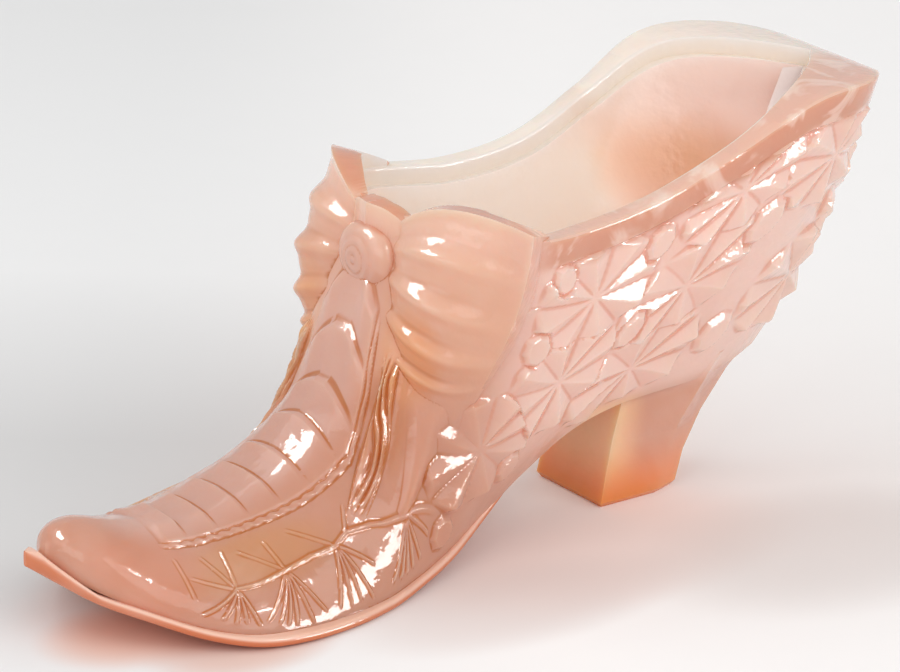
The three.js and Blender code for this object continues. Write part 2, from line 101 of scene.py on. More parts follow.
# Sole plate: its edge line, its thickness from the toe's tip over the lip, and the round of its bead.
SOLE_EDGE = [
    [-72.2, 0.3, 10.6], [-69.7, 3.6, 8.8], [-65.7, 8.2, 6.2], [-61.3, 12.8, 4.4], [-54.1, 18.2, 1.6],
    [-47.9, 21.6, 0.4], [-41.3, 22.8, 0.1], [-33.3, 22.2, 0], [-25.8, 20.2, 0], [-18.9, 17.6, 0.7],
    [-11.9, 14.8, 2.0], [-4.3, 11.3, 4.6], [2.2, 9.0, 8.0],
]
SOLE_THICKNESS = 1.4
TIP_THICKNESS = 2.2
LIP_THICKNESS = 3.2
TIP_LENGTH = 0.17
SOLE_STEPS = 220
BEAD_STEPS = 16
BEAD_INSET = 0.6

# Heel: each row is [height, front, side corner, back, half width, half width of the back face].
HEEL_LEVELS = [
    [0, 19.9, 29.5, 33.3, 7.1, 5.9], [0.7, 19.5, 29.9, 34.1, 7.6, 6.2], [5, 20.4, 31.1, 35.7, 7.4, 5.8],
    [10, 21.4, 33.5, 39.5, 7.4, 4.9], [15, 22.4, 36.9, 45.3, 7.8, 3.6], [19.6, 23.9, 40.3, 53.3, 8.1, 2.2],
]
HEEL_STEPS = 40

# Inside of the foot: the recess within the rim, then the hollow with its walls, floor and roof.
RIM_WIDTH = 3.0
RECESS_DEPTH = 2.6
WALL = 3.8
FLOOR = 5.0
HEEL_FLOOR = 8.0
ROOF = 4.0
HOLLOW_FRONT = 4.8
HOLLOW_BACK = 15.35
HOLLOW_STEPS = 160
HOLLOW_STEPS_UP = 40
NOSE_LENGTH = 1.3
NOSE_LEAST = 0.05
LEAST_HEIGHT = 1
LEAST_HALF = 0.01
LEAST_RISE = 0.001
THROAT_BEHIND_KNOT = 1.9
THROAT_RISE = 0.7
THROAT_SEARCH = [6, 12, 1201]
RAMP_START = 9
RAMP_END = 14
TAPER_START = 12.6
TAPER_POWER = 2.4
RECESS_FRONT = 9.7
RECESS_LEAST_HALF = 0.02
CLEAR_ABOVE = 9

# Relief above the plain skin.
PETAL_LIFT = 1.15
# The petals' heights differ by this share, by a wave over their corners and their star's station.
PETAL_VARIES = 0.22
PETAL_WAVE_BY_CORNER = 2.4
PETAL_WAVE_BY_STATION = 5
PETAL_LIMIT = 1.2
GROOVE_LIFT = 0.0
STAR_CENTRE_LIFT = 0.35
PETALS = 8
CELL_CORNER = 1.45
CELL_REACH = 1.3
CELL_FADE = 0.15
CELL_GAP = 0.035
CUT_SHARE = 0.45
BUTTON_LIFT = 0.75
BUTTON_TOP = 0.72
BUTTON_MOAT = 1.16
BUTTON_SIDES = 8
BAND_LIFT = 0.5
BAND_START = 10.35
BAND_FADE = [-0.1, 0.4]
BAND_FOOT = 0.9
BAND_BEVEL = 0.015
PATTERN_FOOT = 0.07
PATTERN_FADE = 0.03

# Laced panel: the edges of its bands by station, its side line, its soft ridges and its cord.
PANEL_EDGES = [3.3, 3.8, 4.4, 5.0, 5.6, 6.15, 6.65, 7.05, 7.35, 7.65]
PANEL_SIDE = [[3.3, 0.7], [4.2, 0.71], [5.2, 0.68], [6.1, 0.65], [6.8, 0.63], [7.25, 0.7], [7.65, 0.8]]
PANEL_LIFT = 0.6
PANEL_STEP = 0.8
PANEL_TURN = 0.86
PANEL_DROP = 6
PANEL_STEP_FADE = [0.4, 1.0]
PANEL_SIDE_FADE = [0.9, 1.0]
PANEL_FRONT_FADE = [-0.05, 0.12]
PANEL_BACK_FADE = [-0.1, 0]
PANEL_RIDGE = 0.3
PANEL_RIDGE_AT = 0.5
PANEL_RIDGE_HALF = 0.22
CORD_MIDDLE = [5.5, 0.68]
CORD_HALF = 0.62
CORD_LIFT = 0.45
CORD_TWIST = 1.9
CORD_TWIST_DEPTH = 0.22
CORD_TWIST_LEAN = 0.7
CORD_FRONT_FADE = [-0.1, 0.1]
CORD_BACK_FADE = [-0.15, 0]

# Hearts of the four half daisies along the frill, as [station, up].
HEARTS = [[4.07, 0.37], [5.0, 0.4], [6.03, 0.39], [7.55, 0.24]]
# Frill round the foot: a ridge through the hearts, over a soft swell of cloth.
RIDGE = [
    [3.35, 0.15], HEARTS[0], [4.53, 0.38], HEARTS[1], [5.53, 0.41], HEARTS[2], [6.29, 0.41],
    [6.76, 0.36], HEARTS[3], [8.1, 0.2], [8.6, 0.16],
]
RIDGE_LIFT = 0.4
RIDGE_HALF = 0.3
FRILL_LIFT = 0.14
FRILL_MIDDLE = [6, 0.4]
FRILL_START = [3.2, 3.7]
FRILL_END = [8.0, 8.6]
FRILL_LIMIT = 9
# Where the cloth swells up and where it dies out, in millimetres below the ridge.
CLOTH_START = [-0.2, 0.6]
CLOTH_END = [4.5, 7.5]
# Half daisies, heart by heart: half length and half height, then the feet of the thin rays.
FANS = [
    [[3.6, 5.0], [[3.3, 0.12], [3.62, 0.12], [3.82, 0.1], [4.0, 0.11], [4.22, 0.09]]],
    [[4.4, 6.2], [[4.32, 0.11], [4.52, 0.08], [4.67, 0.06], [4.83, 0.05], [5.15, 0.04], [5.45, 0.09]]],
    [[5.0, 6.8], [[5.7, 0.08], [5.78, 0.18], [5.95, 0.06], [6.2, 0.06], [6.52, 0.04], [6.66, 0.2]]],
    [[6.2, 6.2], [[7.0, 0.06], [7.25, 0.05], [7.46, 0.05], [7.68, 0.05], [7.95, 0.06], [8.2, 0.12]]],
]
RAY_LIFT = 0.36
RAY_HALF = 0.2
RAY_START = [0.04, 0.16]
RAY_END = [0.86, 1]
FLUTE_LIFT = 0.04
FLUTE_FADE = [0.8, 1.05]
# Creases over the frill, each from [station, up] to [station, up].
CREASES = [
    [[3.32, 0.62], [3.33, 0.25]], [[4.19, 0.64], HEARTS[0]], [[4.36, 0.6], HEARTS[1]],
    [[3.75, 0.62], HEARTS[0]], [[5.3, 0.6], HEARTS[2]], [[6.45, 0.52], [6.27, 0.4]],
    [[3.36, 0.45], HEARTS[0]], [[4.9, 0.6], HEARTS[1]],
]
CREASE_LIFT = 0.2

# Stars on the side behind the bow: [station, up, half length, half height].
STARS = [
    [9.37, 0.3, 8.6, 6.2], [10.87, 0.4, 8.4, 6.4], [11.17, 0.7, 9.0, 6.2], [12.7, 0.2, 9.2, 6.0],
    [12.97, 0.505, 9.4, 6.6], [13.3, 0.81, 8.8, 5.2], [14.95, 0.765, 8.4, 6.6], [16.0, 0.3, 8.8, 6.8],
    [16.5, 0.58, 5.2, 6.2],
]
# Octagonal buttons between the stars: [station, up, radius].
BUTTONS = [
    [8.55, 0.1, 2.4], [10.2, 0.16, 2.4], [10.25, 0.585, 2.6], [10.6, 0.83, 2.4], [12.12, 0.435, 2.8],
    [12.1, 0.8, 2.6], [14.1, 0.6, 3.6], [14.5, 0.19, 3.4],
]

# Bow loop, from the top corner down.
LOOP_ROOT = [
    [-14.7, 5.0, 49.4], [-15.7, 4.8, 45.4], [-16.7, 4.8, 41.2], [-17.7, 5.0, 36.4], [-18.9, 7.2, 30.8],
    [-18.4, 9.6, 25.6], [-16.6, 11.4, 21.8],
]
LOOP_CREST = [
    [-12.1, 13.6, 53.3], [-15.2, 15.0, 46.4], [-17.3, 15.6, 39.5], [-17.5, 14.9, 32.6],
    [-16.5, 14.8, 27.6], [-14.9, 14.9, 23.6], [-13.4, 14.6, 20.2],
]
LOOP_EDGE = [
    [-5.5, 22.9, 50.7], [-6.7, 22.6, 43.2], [-8.1, 20.8, 35.7], [-9.3, 18.5, 30.2], [-9.9, 16.6, 26.2],
    [-10.6, 15.5, 22.6], [-11.4, 14.6, 19.4],
]
# Thickness of the loop as a way back from its face, at the root and at the outer edge.
LOOP_DEPTH = [[6.2, -2.0, 0], [6.0, -4.4, -2.4]]
# Share of the loop's length that is pleated; the rest runs down into the tail.
LOOP_FACE = 0.62
LOOP_LEAST_HALF = 0.4
PLEATS = 4
PLEAT_LIFT = 0.6
PLEAT_SECOND_WAVE = 0.3
PLEAT_SECOND_SHIFT = 0.8
PLEAT_FADE = [0.85, 1.15]
PLEAT_SPAN = [0.15, 0.95]
PLEAT_LEAN = [-0.8, 0.5, 0]
LOOP_STEPS = 150
LOOP_ACROSS = 40
THROAT_TAB = [[-16.9, 0, 51.2], [-15.9, 3.2, 50.8], [-14.5, 6.2, 49.2]]
TAB_DEPTH = 3.6
TAB_HEIGHT = 8
TAB_FRONT = 0.6
TAB_OVERLAP = 0.1
TAB_STEPS = 16
KNOT_CENTRE = [-16.5, 0, 43.3]
KNOT_RADII = [2.7, 5.8, 4.9]
SWIRL_PITCH = 1.35
SWIRL_LIFT = 0.07
SWIRL_FADE = [3.2, 4.2]
KNOT_AROUND = 96
KNOT_LEVELS = 80

# Tails under the bow; each row of an edge is [station, up].
TAIL_INNER = [[8.6, 0.74], [8.1, 0.6], [7.85, 0.5], [7.75, 0.41], [7.55, 0.33], [7.2, 0.27]]
TAIL_OUTER = [[10.3, 0.74], [9.95, 0.6], [9.5, 0.5], [8.95, 0.43], [8.4, 0.31], [7.7, 0.21]]
TAIL_LIFT = 1.2
TAIL_FULLNESS = 1.5
TAIL_ROUND_FROM = 0.3
TAIL_ROUND_POWER = 4
FOLD_INNER = [[7.6, 0.68], [7.48, 0.64], [7.3, 0.63], [7.05, 0.61], [6.75, 0.55], [6.42, 0.46]]
FOLD_OUTER = [[7.85, 0.59], [7.72, 0.56], [7.57, 0.52], [7.4, 0.47], [7.1, 0.44], [6.62, 0.39]]
FOLD_LIFT = 0.85
FOLDS = 3
FOLD_HOLLOW = 0.34
FOLD_SWAY = 0.3
FOLD_SWAYS = 2.2
# How steeply the streamer rises from its sides, from its start and from its end.
FOLD_SIDE_RISE = 7
FOLD_START_RISE = 5
FOLD_END_RISE = 6
FOLD_LUMPS = 0.16
FOLD_LUMPS_ALONG = 9
FOLD_LUMPS_ACROSS = 4
STRIP_STEPS = 160

# Camera found from the photograph: turn, rise and roll, distance, focal length in pixels and target.
# Distance and target are in millimetres, the nearest clip in metres.
CAM_AZIMUTH = math.radians(-36.77)
CAM_ELEVATION = math.radians(20.78)
CAM_ROLL = math.radians(1.03)
CAM_DISTANCE = 702.0
CAM_FOCAL = 5239.7
CAM_TARGET = [-18.14, -21.29, 38.63]
CAM_CLIP = 0.01
PHOTO_WIDTH = 900
SENSOR = 36.0

# Colours of the glass by region (red, green, blue out of 255). Some hold painted light and shade: the
# heel's lit front, the orange glow at the heel's foot and the plate's edge, the plate's lit top, the
# backlit inside and the shade in the creases.
FOOT_COLOUR = (208, 152, 128)
SIDE_COLOUR = (245, 208, 194)
BOW_COLOUR = (226, 174, 147)
BOW_TOP_COLOUR = (238, 196, 174)
BOW_EDGE_COLOUR = (212, 138, 102)
PANEL_COLOUR = (214, 168, 152)
# Painted light: the inside is near-white for the light that shines through the far wall.
INSIDE_BACKLIT_COLOUR = (253, 228, 217)
INSIDE_WARM = (228, 184, 150)
INSIDE_TOP = (234, 210, 200)
RIM_COLOUR = (255, 236, 225)
RIM_NEAR_COLOUR = (232, 186, 166)
BAND_COLOUR = (212, 150, 122)
HEEL_COLOUR = (216, 156, 130)
# Painted light: the heel's front face is made lighter.
HEEL_FRONT_PAINTED_LIGHT = (255, 204, 160)
# Painted glow: orange of light passing through the heel's foot.
HEEL_LOW_GLOW_COLOUR = (244, 138, 72)
# Painted glow on the plate's edge and painted light on its upward face.
PLATE_EDGE_GLOW_COLOUR = (216, 128, 88)
PLATE_TOP_LIT_COLOUR = (246, 198, 176)
# Amber serves the random streaks in the glass and the painted shade in creases and recesses.
AMBER = (192, 112, 44)
PALE = (250, 222, 210)
# Painted shade: deeper pink for the creases behind the bow.
PINK_CREASE_SHADE = (226, 160, 132)

# Where the body's colours lie, in metres: each pair is where one starts and where it is full.
SIDE_X = (-0.016, 0.004)
SIDE_Z = (0.004, 0.022)
BOW_X = (-0.004, -0.010)
BOW_Z = (0.022, 0.034)
BOW_TOP_Z = (0.042, 0.052)
BOW_EDGE_X = (-0.003, -0.005)
BOW_EDGE_Z = (0.0465, 0.048)
BOW_EDGE_FACING = (0.75, 0.9)
BOW_EDGE_SHARE = 0.7
HEEL_X = (0.012, 0.018)
HEEL_Z = (0.0185, 0.0145)
# Where the painted light on the heel's front lies.
HEEL_FRONT_LIGHT_X = (0.028, 0.021)
# Where the painted glow at the heel's foot lies.
HEEL_LOW_GLOW_Z = (0.010, 0.000)
PANEL_Y = (0.008, 0.004)
PANEL_FRONT_X = (-0.062, -0.055)
PANEL_BACK_X = (-0.016, -0.02)
PANEL_SHARE = 0.8
INSIDE_TOP_Z = (0.044, 0.054)
# The warm place on the inside: centre and reach.
INSIDE_WARM_PLACE = ((0.046, 0.014, 0.043), (0.016, 0.02, 0.011))
# Rim band: how far under the rim's line, from where along x, its top face and its streaks.
BAND_UNDER = (0.0055, 0.0035)
BAND_X = (-0.006, 0.002)
BAND_SHARE = 0.9
TOP_FACE_Y = (-0.008, 0.004)
TOP_FACING = (0.3, 0.8)
STREAK_NOISE = (110, 3, 1.5)
STREAK_RAMP = (0.5, 0.64)
STREAK_SHARE = 0.45
# The rim's line over x is kept in a ramp of greys, and this height in millimetres is its white.
RIM_SCALE = 64
RIM_FROM_STATION = 8
# Painted shade in the creases, which pointiness finds: deeper pink behind the bow, amber in front of it.
PINK_CREASE_SHADE_EDGES = (0.497, 0.475)
PINK_CREASE_SHADE_X = (-0.014, -0.006)
PINK_CREASE_SHADE_SHARE = 0.5
AMBER_CREASE_SHADE_EDGES = (0.498, 0.478)
AMBER_SHADE_X = (-0.012, -0.018)
AMBER_SHADE_Z = (0.05, 0.042)
AMBER_SHADE_SHARE = 0.8
# Painted light: where the plate faces up it is paler.
PLATE_LIT_FACING = (0.0, 0.7)

# The glass itself. Noises are scale, detail and distortion.
CLOUD_NOISE = (45, 3, 0.8)
CLOUD_PALE = (0.5, 0.72)
CLOUD_PALE_SHARE = 0.14
CLOUD_AMBER = (0.48, 0.3)
CLOUD_AMBER_SHARE = 0.1
ROUGH_NOISE = (160, 2)
WAVE_NOISE = (140, 2)
WAVE_DEPTH = 0.0006
WAVE_STRENGTH = 0.35
RIPPLE_NOISE = (620, 2)
RIPPLE_DEPTH = 0.00018
RIPPLE_STRENGTH = 0.4
GLASS_IOR = 1.5
# Kinds of glass: share seen through, share that scatters inside, reach of the scatter in metres.
BODY_GLASS = (0.05, 0.6, 0.006)
PLATE_GLASS = (0.05, 0.2, 0.002)
INSIDE_GLASS = (0, 1, 0.012)
RIM_GLASS = (0.12, 0.8, 0.006)
# Roughness from and to, and how far red, green and blue scatter.
BODY_GLOSS = (0.03, 0.09)
INSIDE_GLOSS = (0.06, 0.14)
RIM_GLOSS = (0.03, 0.07)
BODY_SCATTER = (1.0, 0.6, 0.42)
INSIDE_SCATTER = (1, 0.9, 0.82)
SHARP_ANGLE = math.radians(24)

# A tinted place has its full colour out to this share of its squared reach.
SPOT_CORE = 0.05
# Tinted places on the glass, the first of them painted shade, amber in the recess between the bow and the
# vamp: centre (y is taken on both sides), reach, both in metres, colour, share.
TINTS_WITH_RECESS_SHADE = [
    ((-0.021, 0.0105, 0.022), (0.005, 0.005, 0.013), AMBER, 0.5),
    ((-0.018, 0.012, 0.033), (0.006, 0.006, 0.009), (230, 158, 104), 0.55),
    ((-0.043, 0.0125, 0.009), (0.016, 0.006, 0.006), (208, 146, 94), 0.6),
    ((-0.060, 0.009, 0.009), (0.012, 0.010, 0.008), (210, 136, 104), 0.75),
]

# Lamps: direction round and up in degrees, distance, width, height in metres, watts, gleam only.
LAMPS = {
    "key": (143, 47, 0.9, 0.9, 0.7, 2.0, False),
    "fill": (-80, 35, 1.2, 1.2, 0.9, 5.0, False),
    "side": (-165, 25, 1.2, 0.8, 0.6, 2.2, False),
    "window": (143, 47, 0.8, 0.42, 0.25, 6.6, True),
    "low_window": (-57, 10, 0.8, 0.5, 0.24, 6.4, True),
    "high_window": (-72, 47, 0.8, 0.12, 0.1, 0.9, True),
}
# Place that the lamps aim at, in metres.
LAMP_AIM = (0, 0, 0.03)
WORLD_LIGHT = 0.62

# Floor: painted shading as greys by depth behind the slipper in metres, with a darker band where shade
# falls, and painted light brightening it to the right.
FLOOR_SHADE_GREYS = [
    (-0.055, 240), (-0.040, 233), (-0.020, 220), (0.028, 219), (0.06, 231), (0.1, 243), (0.24, 235),
]
FLOOR_LIT_RIGHT = (255, 253, 252)
FLOOR_LIT_RIGHT_FROM = (-0.06, 0.02)
FLOOR_LIT_RIGHT_SHARE = 0.85
FLOOR_GRAIN = (225, 225, 225)
FLOOR_GRAIN_NOISE = (90, 2)
FLOOR_GRAIN_RAMP = (0.4, 0.7)
FLOOR_GRAIN_SHARE = 0.02
FLOOR_ROUGHNESS = 0.8
FLOOR_HALF = 3
# Painted light and shade on the floor: the warm glow that the glass lets through near the toe, and painted
# shadows, some tinted, under the arch and right of the heel: place, reach in metres, colour, share.
FLOOR_GLOW_AND_SHADOW_SPOTS = [
    ((-0.059, -0.007, 0), (0.016, 0.012, 1), (236, 172, 140), 0.6),
    ((-0.050, -0.019, 0), (0.016, 0.010, 1), (226, 182, 164), 0.7),
    ((0.010, -0.020, 0), (0.036, 0.020, 1), (238, 208, 198), 0.5),
    ((-0.010, -0.028, 0), (0.030, 0.014, 1), (224, 210, 206), 0.6),
    ((0.037, -0.037, 0), (0.034, 0.024, 1), (222, 215, 212), 0.6),
]


def catmull(points, t):
    """Centripetal Catmull-Rom curve through the points, at t from 0 to 1."""
    points = np.asarray(points, float)
    place = (len(points) - 1) * np.clip(np.asarray(t, float), 0, 1)
    first = np.clip(np.floor(place).astype(int), 0, len(points) - 2)
    w = (place - first)[..., None]
    ends = np.vstack([2 * points[0] - points[1], points, 2 * points[-1] - points[-2]])
    p0, p1, p2, p3 = (ends[first + k] for k in range(4))
    pairs = ((p0, p1), (p1, p2), (p2, p3))
    d0, d1, d2 = (np.maximum(((b - a) ** 2).sum(-1) ** 0.25, 1e-4)[..., None] for a, b in pairs)
    t1 = ((p1 - p0) / d0 - (p2 - p0) / (d0 + d1) + (p2 - p1) / d1) * d1
    t2 = ((p2 - p1) / d1 - (p3 - p1) / (d1 + d2) + (p3 - p2) / d2) * d1
    return p1 + t1 * w + (3 * p2 - 3 * p1 - 2 * t1 - t2) * w ** 2 + (2 * p1 - 2 * p2 + t1 + t2) * w ** 3


def skin(station, up):
    """Points of the plain skin on the +Y side, at arrays of stations and heights up it."""
    station, up = np.broadcast_arrays(np.asarray(station, float), np.asarray(up, float))
    t = station / STATIONS
    foot, low, high, top = (catmull(line, t) for line in (FOOT_LINE, LOW_LINE, HIGH_LINE, TOP_LINE))
    k = up[..., None]
    p = foot * (1 - k) ** 3 + 3 * low * k * (1 - k) ** 2 + 3 * high * k * k * (1 - k) + top * k ** 3
    p[..., 1] = np.maximum(p[..., 1], 0)
    return p


def smooth(x, low, high):
    """Smooth step from 0 at `low` to 1 at `high`."""
    w = np.clip((x - low) / (high - low), 0, 1)
    return w * w * (3 - 2 * w)


def skin_normal(station, up):
    """Outward directions of the plain skin."""
    step = 0.02
    along = skin(station + step, up) - skin(station - step, up)
    rise = skin(station, np.minimum(up + step, 1)) - skin(station, np.maximum(up - step, 0))
    normal = -np.cross(along, rise)
    middle = skin(station, up)[..., 1] <= ON_MIDDLE
    normal[..., 1] = np.where(middle, 0, normal[..., 1])
    return normal / np.linalg.norm(normal, axis=-1, keepdims=True)


def pace(station, up):
    """Millimetres for one station, and for one whole height, near a point of the skin."""
    step = 0.05
    along = np.linalg.norm(skin(station + step, up) - skin(station - step, up)) / (2 * step)
    rise = np.linalg.norm(skin(station, up + step) - skin(station, up - step)) / (2 * step)
    return along, rise


def in_mm(stations, ups, place):
    """Distances along and up the skin from a place on it."""
    along, rise = pace(*place)
    return (stations - place[0]) * along, (ups - place[1]) * rise


def star_cell(stations, ups, star):
    """Share of the way from a star's centre to its rim, and the height of its flat facets."""
    x, y = in_mm(stations, ups, star[:2])
    x, y = x / star[2], y / star[3]
    wedge = math.pi / PETALS
    first = np.floor(np.arctan2(y, x) / wedge - 0.5)
    corners = []
    for k in (first, first + 1):
        angle = (k + 0.5) * wedge
        c, s = np.cos(angle), np.sin(angle)
        reach = 1 / np.maximum.reduce([np.abs(c), np.abs(s), (np.abs(c) + np.abs(s)) / CELL_CORNER])
        wave = PETAL_WAVE_BY_CORNER * np.mod(k, 2 * PETALS) + PETAL_WAVE_BY_STATION * star[0]
        lift = PETAL_LIFT * (1 + PETAL_VARIES * np.sin(wave))
        corners.append((reach * c, reach * s, np.where(np.mod(k, 2) == 0, lift, GROOVE_LIFT)))
    (x0, y0, h0), (x1, y1, h1) = corners
    whole = x0 * y1 - y0 * x1
    a, b = (x * y1 - y * x1) / whole, (x0 * y - y0 * x) / whole
    share = a + b
    height = STAR_CENTRE_LIFT * (1 - share) + a * h0 + b * h1
    return share, np.clip(height, 0, PETAL_LIFT * PETAL_LIMIT)


def pattern_height(stations, ups):
    """Stars that meet along fine cuts and cover the side behind the bow."""
    cells = [star_cell(stations, ups, star) for star in STARS]
    shares = np.stack([share for share, _ in cells])
    heights = np.stack([height for _, height in cells])
    order = np.sort(shares, axis=0)
    height = np.take_along_axis(heights, shares.argmin(0)[None], 0)[0]
    cut = 1 - smooth(order[1] - order[0], 0, CELL_GAP)
    height = height * (1 - CUT_SHARE * cut)
    foot = smooth(ups, PATTERN_FOOT - PATTERN_FADE, PATTERN_FOOT)
    return height * (1 - smooth(order[0], CELL_REACH - CELL_FADE, CELL_REACH)) * foot


def with_button(height, stations, ups, button):
    """Heights with one flat octagonal button let in flush, in a narrow moat."""
    x, y = in_mm(stations, ups, button[:2])
    turns = (2 * np.arange(BUTTON_SIDES // 2) + 1) * math.pi / BUTTON_SIDES
    octagon = np.maximum.reduce([np.abs(x * math.cos(a) + y * math.sin(a)) for a in turns]) / button[2]
    raised = BUTTON_LIFT * np.clip((1 - octagon) / (1 - BUTTON_TOP), 0, 1)
    blend = smooth(octagon, 1, BUTTON_MOAT)
    return raised * (1 - blend) + height * blend


def line_height(stations, ups, start, end, half):
    """Height from 0 to 1 of a thin ridge from one place on the skin to another."""
    x, y = in_mm(stations, ups, start)
    end_x, end_y = in_mm(*end, start)
    length = math.hypot(end_x, end_y)
    along = (x * end_x + y * end_y) / length ** 2
    off = (x * end_y - y * end_x) / length
    on = smooth(along, *RAY_START) * (1 - smooth(along, *RAY_END))
    return on * np.exp(-(off / half) ** 2)


def fan_height(stations, ups, heart, fan):
    """Thin raised rays of a half daisy, running down to the flange, with flutes between them."""
    size, feet = fan
    height = np.maximum.reduce([line_height(stations, ups, heart, foot, RAY_HALF) for foot in feet])
    share, facets = star_cell(stations, ups, [*heart, *size])
    return RAY_LIFT * height + FLUTE_LIFT * facets * (1 - smooth(share, *FLUTE_FADE))


def crease_height(stations, ups):
    """Thin raised creases over the frill, most of them running to a heart."""
    lines = [line_height(stations, ups, start, end, RAY_HALF) for start, end in CREASES]
    return CREASE_LIFT * np.maximum.reduce(lines)


def frill_height(stations, ups):
    """The frill's ridge and the cloth that swells up under it."""
    line = np.array(RIDGE)
    at = np.interp(stations, line[:, 0], line[:, 1])
    _, rise = pace(*FRILL_MIDDLE)
    below = (at - ups) * rise
    inside = smooth(stations, *FRILL_START) * (1 - smooth(stations, *FRILL_END))
    ridge = RIDGE_LIFT * np.exp(-(below / RIDGE_HALF) ** 2)
    cloth = FRILL_LIFT * smooth(below, *CLOTH_START) * (1 - smooth(below, *CLOTH_END))
    return (ridge + cloth) * inside


def strip_height(stations, ups, inner, outer, height_at):
    """Height of a strip between two edges drawn on the skin, solved for every point of the grid."""
    t = np.linspace(0, 1, STRIP_STEPS + 1)
    a, b = (catmull([[*p, 0] for p in edge], t)[:, :2] for edge in (inner, outer))
    result = np.zeros_like(stations)
    low, high = np.minimum(a.min(0), b.min(0)), np.maximum(a.max(0), b.max(0))
    inside = (stations > low[0]) & (stations < high[0]) & (ups > low[1]) & (ups < high[1])
    p = np.stack([stations[inside], ups[inside]], -1)
    span = b - a
    off = p[None] - a[:, None]
    side = span[:, None, 0] * off[..., 1] - span[:, None, 1] * off[..., 0]
    crossing = (side[:-1] > 0) != (side[1:] > 0)
    found, first = crossing.any(0), crossing.argmax(0)
    pick = np.arange(len(p))
    d0, d1 = side[first, pick], side[first + 1, pick]
    w = np.clip(d0 / np.where(d0 == d1, 1, d0 - d1), 0, 1)
    start = a[first] + (a[first + 1] - a[first]) * w[:, None]
    end = b[first] + (b[first + 1] - b[first]) * w[:, None]
    reach = end - start
    across = ((p - start) * reach).sum(-1) / np.maximum((reach ** 2).sum(-1), 1e-9)
    along = (first + w) / STRIP_STEPS
    good = found & (across >= 0) & (across <= 1)
    values = np.zeros(len(p))
    values[good] = height_at(across[good], along[good])
    result[inside] = values
    return result


def tail_height(across, along):
    """Full rounded tail that ends in a half round."""
    to_end = np.maximum(along - TAIL_ROUND_FROM, 0) / (1 - TAIL_ROUND_FROM)
    end = np.sqrt(np.maximum(1 - to_end ** TAIL_ROUND_POWER, 0))
    return TAIL_LIFT * np.sin(math.pi * across) ** TAIL_FULLNESS * end


def fold_height(across, along):
    """Folded streamer: folds that sway along it, with soft lumps."""
    rises = [FOLD_SIDE_RISE * across, FOLD_SIDE_RISE * (1 - across)]
    rises += [FOLD_END_RISE * (1 - along), FOLD_START_RISE * along]
    edge = np.minimum.reduce([np.ones_like(across), *rises])
    middle = 4 * across * (1 - across)
    sway = across + FOLD_SWAY * np.sin(FOLD_SWAYS * math.pi * along) * middle
    lumps = 1 + FOLD_LUMPS * np.sin(FOLD_LUMPS_ALONG * math.pi * along + FOLD_LUMPS_ACROSS * across)
    folds = 1 - FOLD_HOLLOW * (1 - np.cos(2 * math.pi * FOLDS * sway))
    return FOLD_LIFT * lumps * smooth(edge, 0, 1) * folds


def panel_side(stations):
    """Height up the skin at which the panel ends, by station."""
    line = np.array(PANEL_SIDE)
    return np.interp(stations, line[:, 0], line[:, 1])


def between_ends(stations, front, back):
    """1 over the panel's length, fading at its front and its back edge."""
    start, end = PANEL_EDGES[0], PANEL_EDGES[-1]
    opening = smooth(stations, start + front[0], start + front[1])
    return opening * (1 - smooth(stations, end + back[0], end + back[1]))


def panel_height(stations, ups):
    """Overlapping bands that step up at their rear edges, full at the crest and fading at the sides."""
    edges = np.array(PANEL_EDGES)
    band = np.clip(np.searchsorted(edges, stations, side="right") - 1, 0, len(edges) - 2)
    part = (stations - edges[band]) / (edges[band + 1] - edges[band])
    out = (1 - ups) / (1 - panel_side(stations))
    rising = np.where(part < PANEL_TURN, part, PANEL_TURN - (part - PANEL_TURN) * PANEL_DROP)
    step = PANEL_STEP * (rising - 0.5) * (1 - smooth(out, *PANEL_STEP_FADE))
    ridges = PANEL_RIDGE * np.exp(-((out - PANEL_RIDGE_AT) / PANEL_RIDGE_HALF) ** 2)
    inside = between_ends(stations, PANEL_FRONT_FADE, PANEL_BACK_FADE)
    return (PANEL_LIFT + step + ridges) * (1 - smooth(out, *PANEL_SIDE_FADE)) * inside


def cord_height(stations, ups):
    """Twisted cord along the panel's side."""
    along, rise = pace(*CORD_MIDDLE)
    off = (ups - panel_side(stations)) * rise
    turn = 2 * math.pi * (stations * along + CORD_TWIST_LEAN * off) / CORD_TWIST
    twist = 1 - CORD_TWIST_DEPTH + CORD_TWIST_DEPTH * np.sin(turn)
    ends = between_ends(stations, CORD_FRONT_FADE, CORD_BACK_FADE)
    return CORD_LIFT * twist * np.sqrt(np.clip(1 - (off / CORD_HALF) ** 2, 0, 1)) * ends


def band_height(stations, ups):
    """Smooth raised band under the rim."""
    start = smooth(stations, BAND_START + BAND_FADE[0], BAND_START + BAND_FADE[1])
    return BAND_LIFT * smooth(ups, BAND_FOOT - BAND_BEVEL, BAND_FOOT) * start


def relief(stations, ups):
    """Height of the moulded pattern over the plain skin."""
    height = pattern_height(stations, ups)
    for button in BUTTONS:
        height = with_button(height, stations, ups, button)
    height = np.maximum(height, frill_height(stations, ups))
    fans = np.maximum.reduce([fan_height(stations, ups, *pair) for pair in zip(HEARTS, FANS)])
    height = height + (fans + crease_height(stations, ups)) * (stations < FRILL_LIMIT)
    height = np.maximum(height, strip_height(stations, ups, TAIL_INNER, TAIL_OUTER, tail_height))
    height = np.maximum(height, strip_height(stations, ups, FOLD_INNER, FOLD_OUTER, fold_height))
    height = np.maximum(height, panel_height(stations, ups))
    height = np.maximum(height, cord_height(stations, ups))
    on_band = (ups >= BAND_FOOT) & (stations >= BAND_START)
    return np.maximum(band_height(stations, ups), np.where(on_band, 0, height))


def new_object(name, mesh):
    """Blender object made from a finished bmesh, which is freed."""
    data = bpy.data.meshes.new(name)
    mesh.to_mesh(data)
    mesh.free()
    return bpy.data.objects.new(name, data)


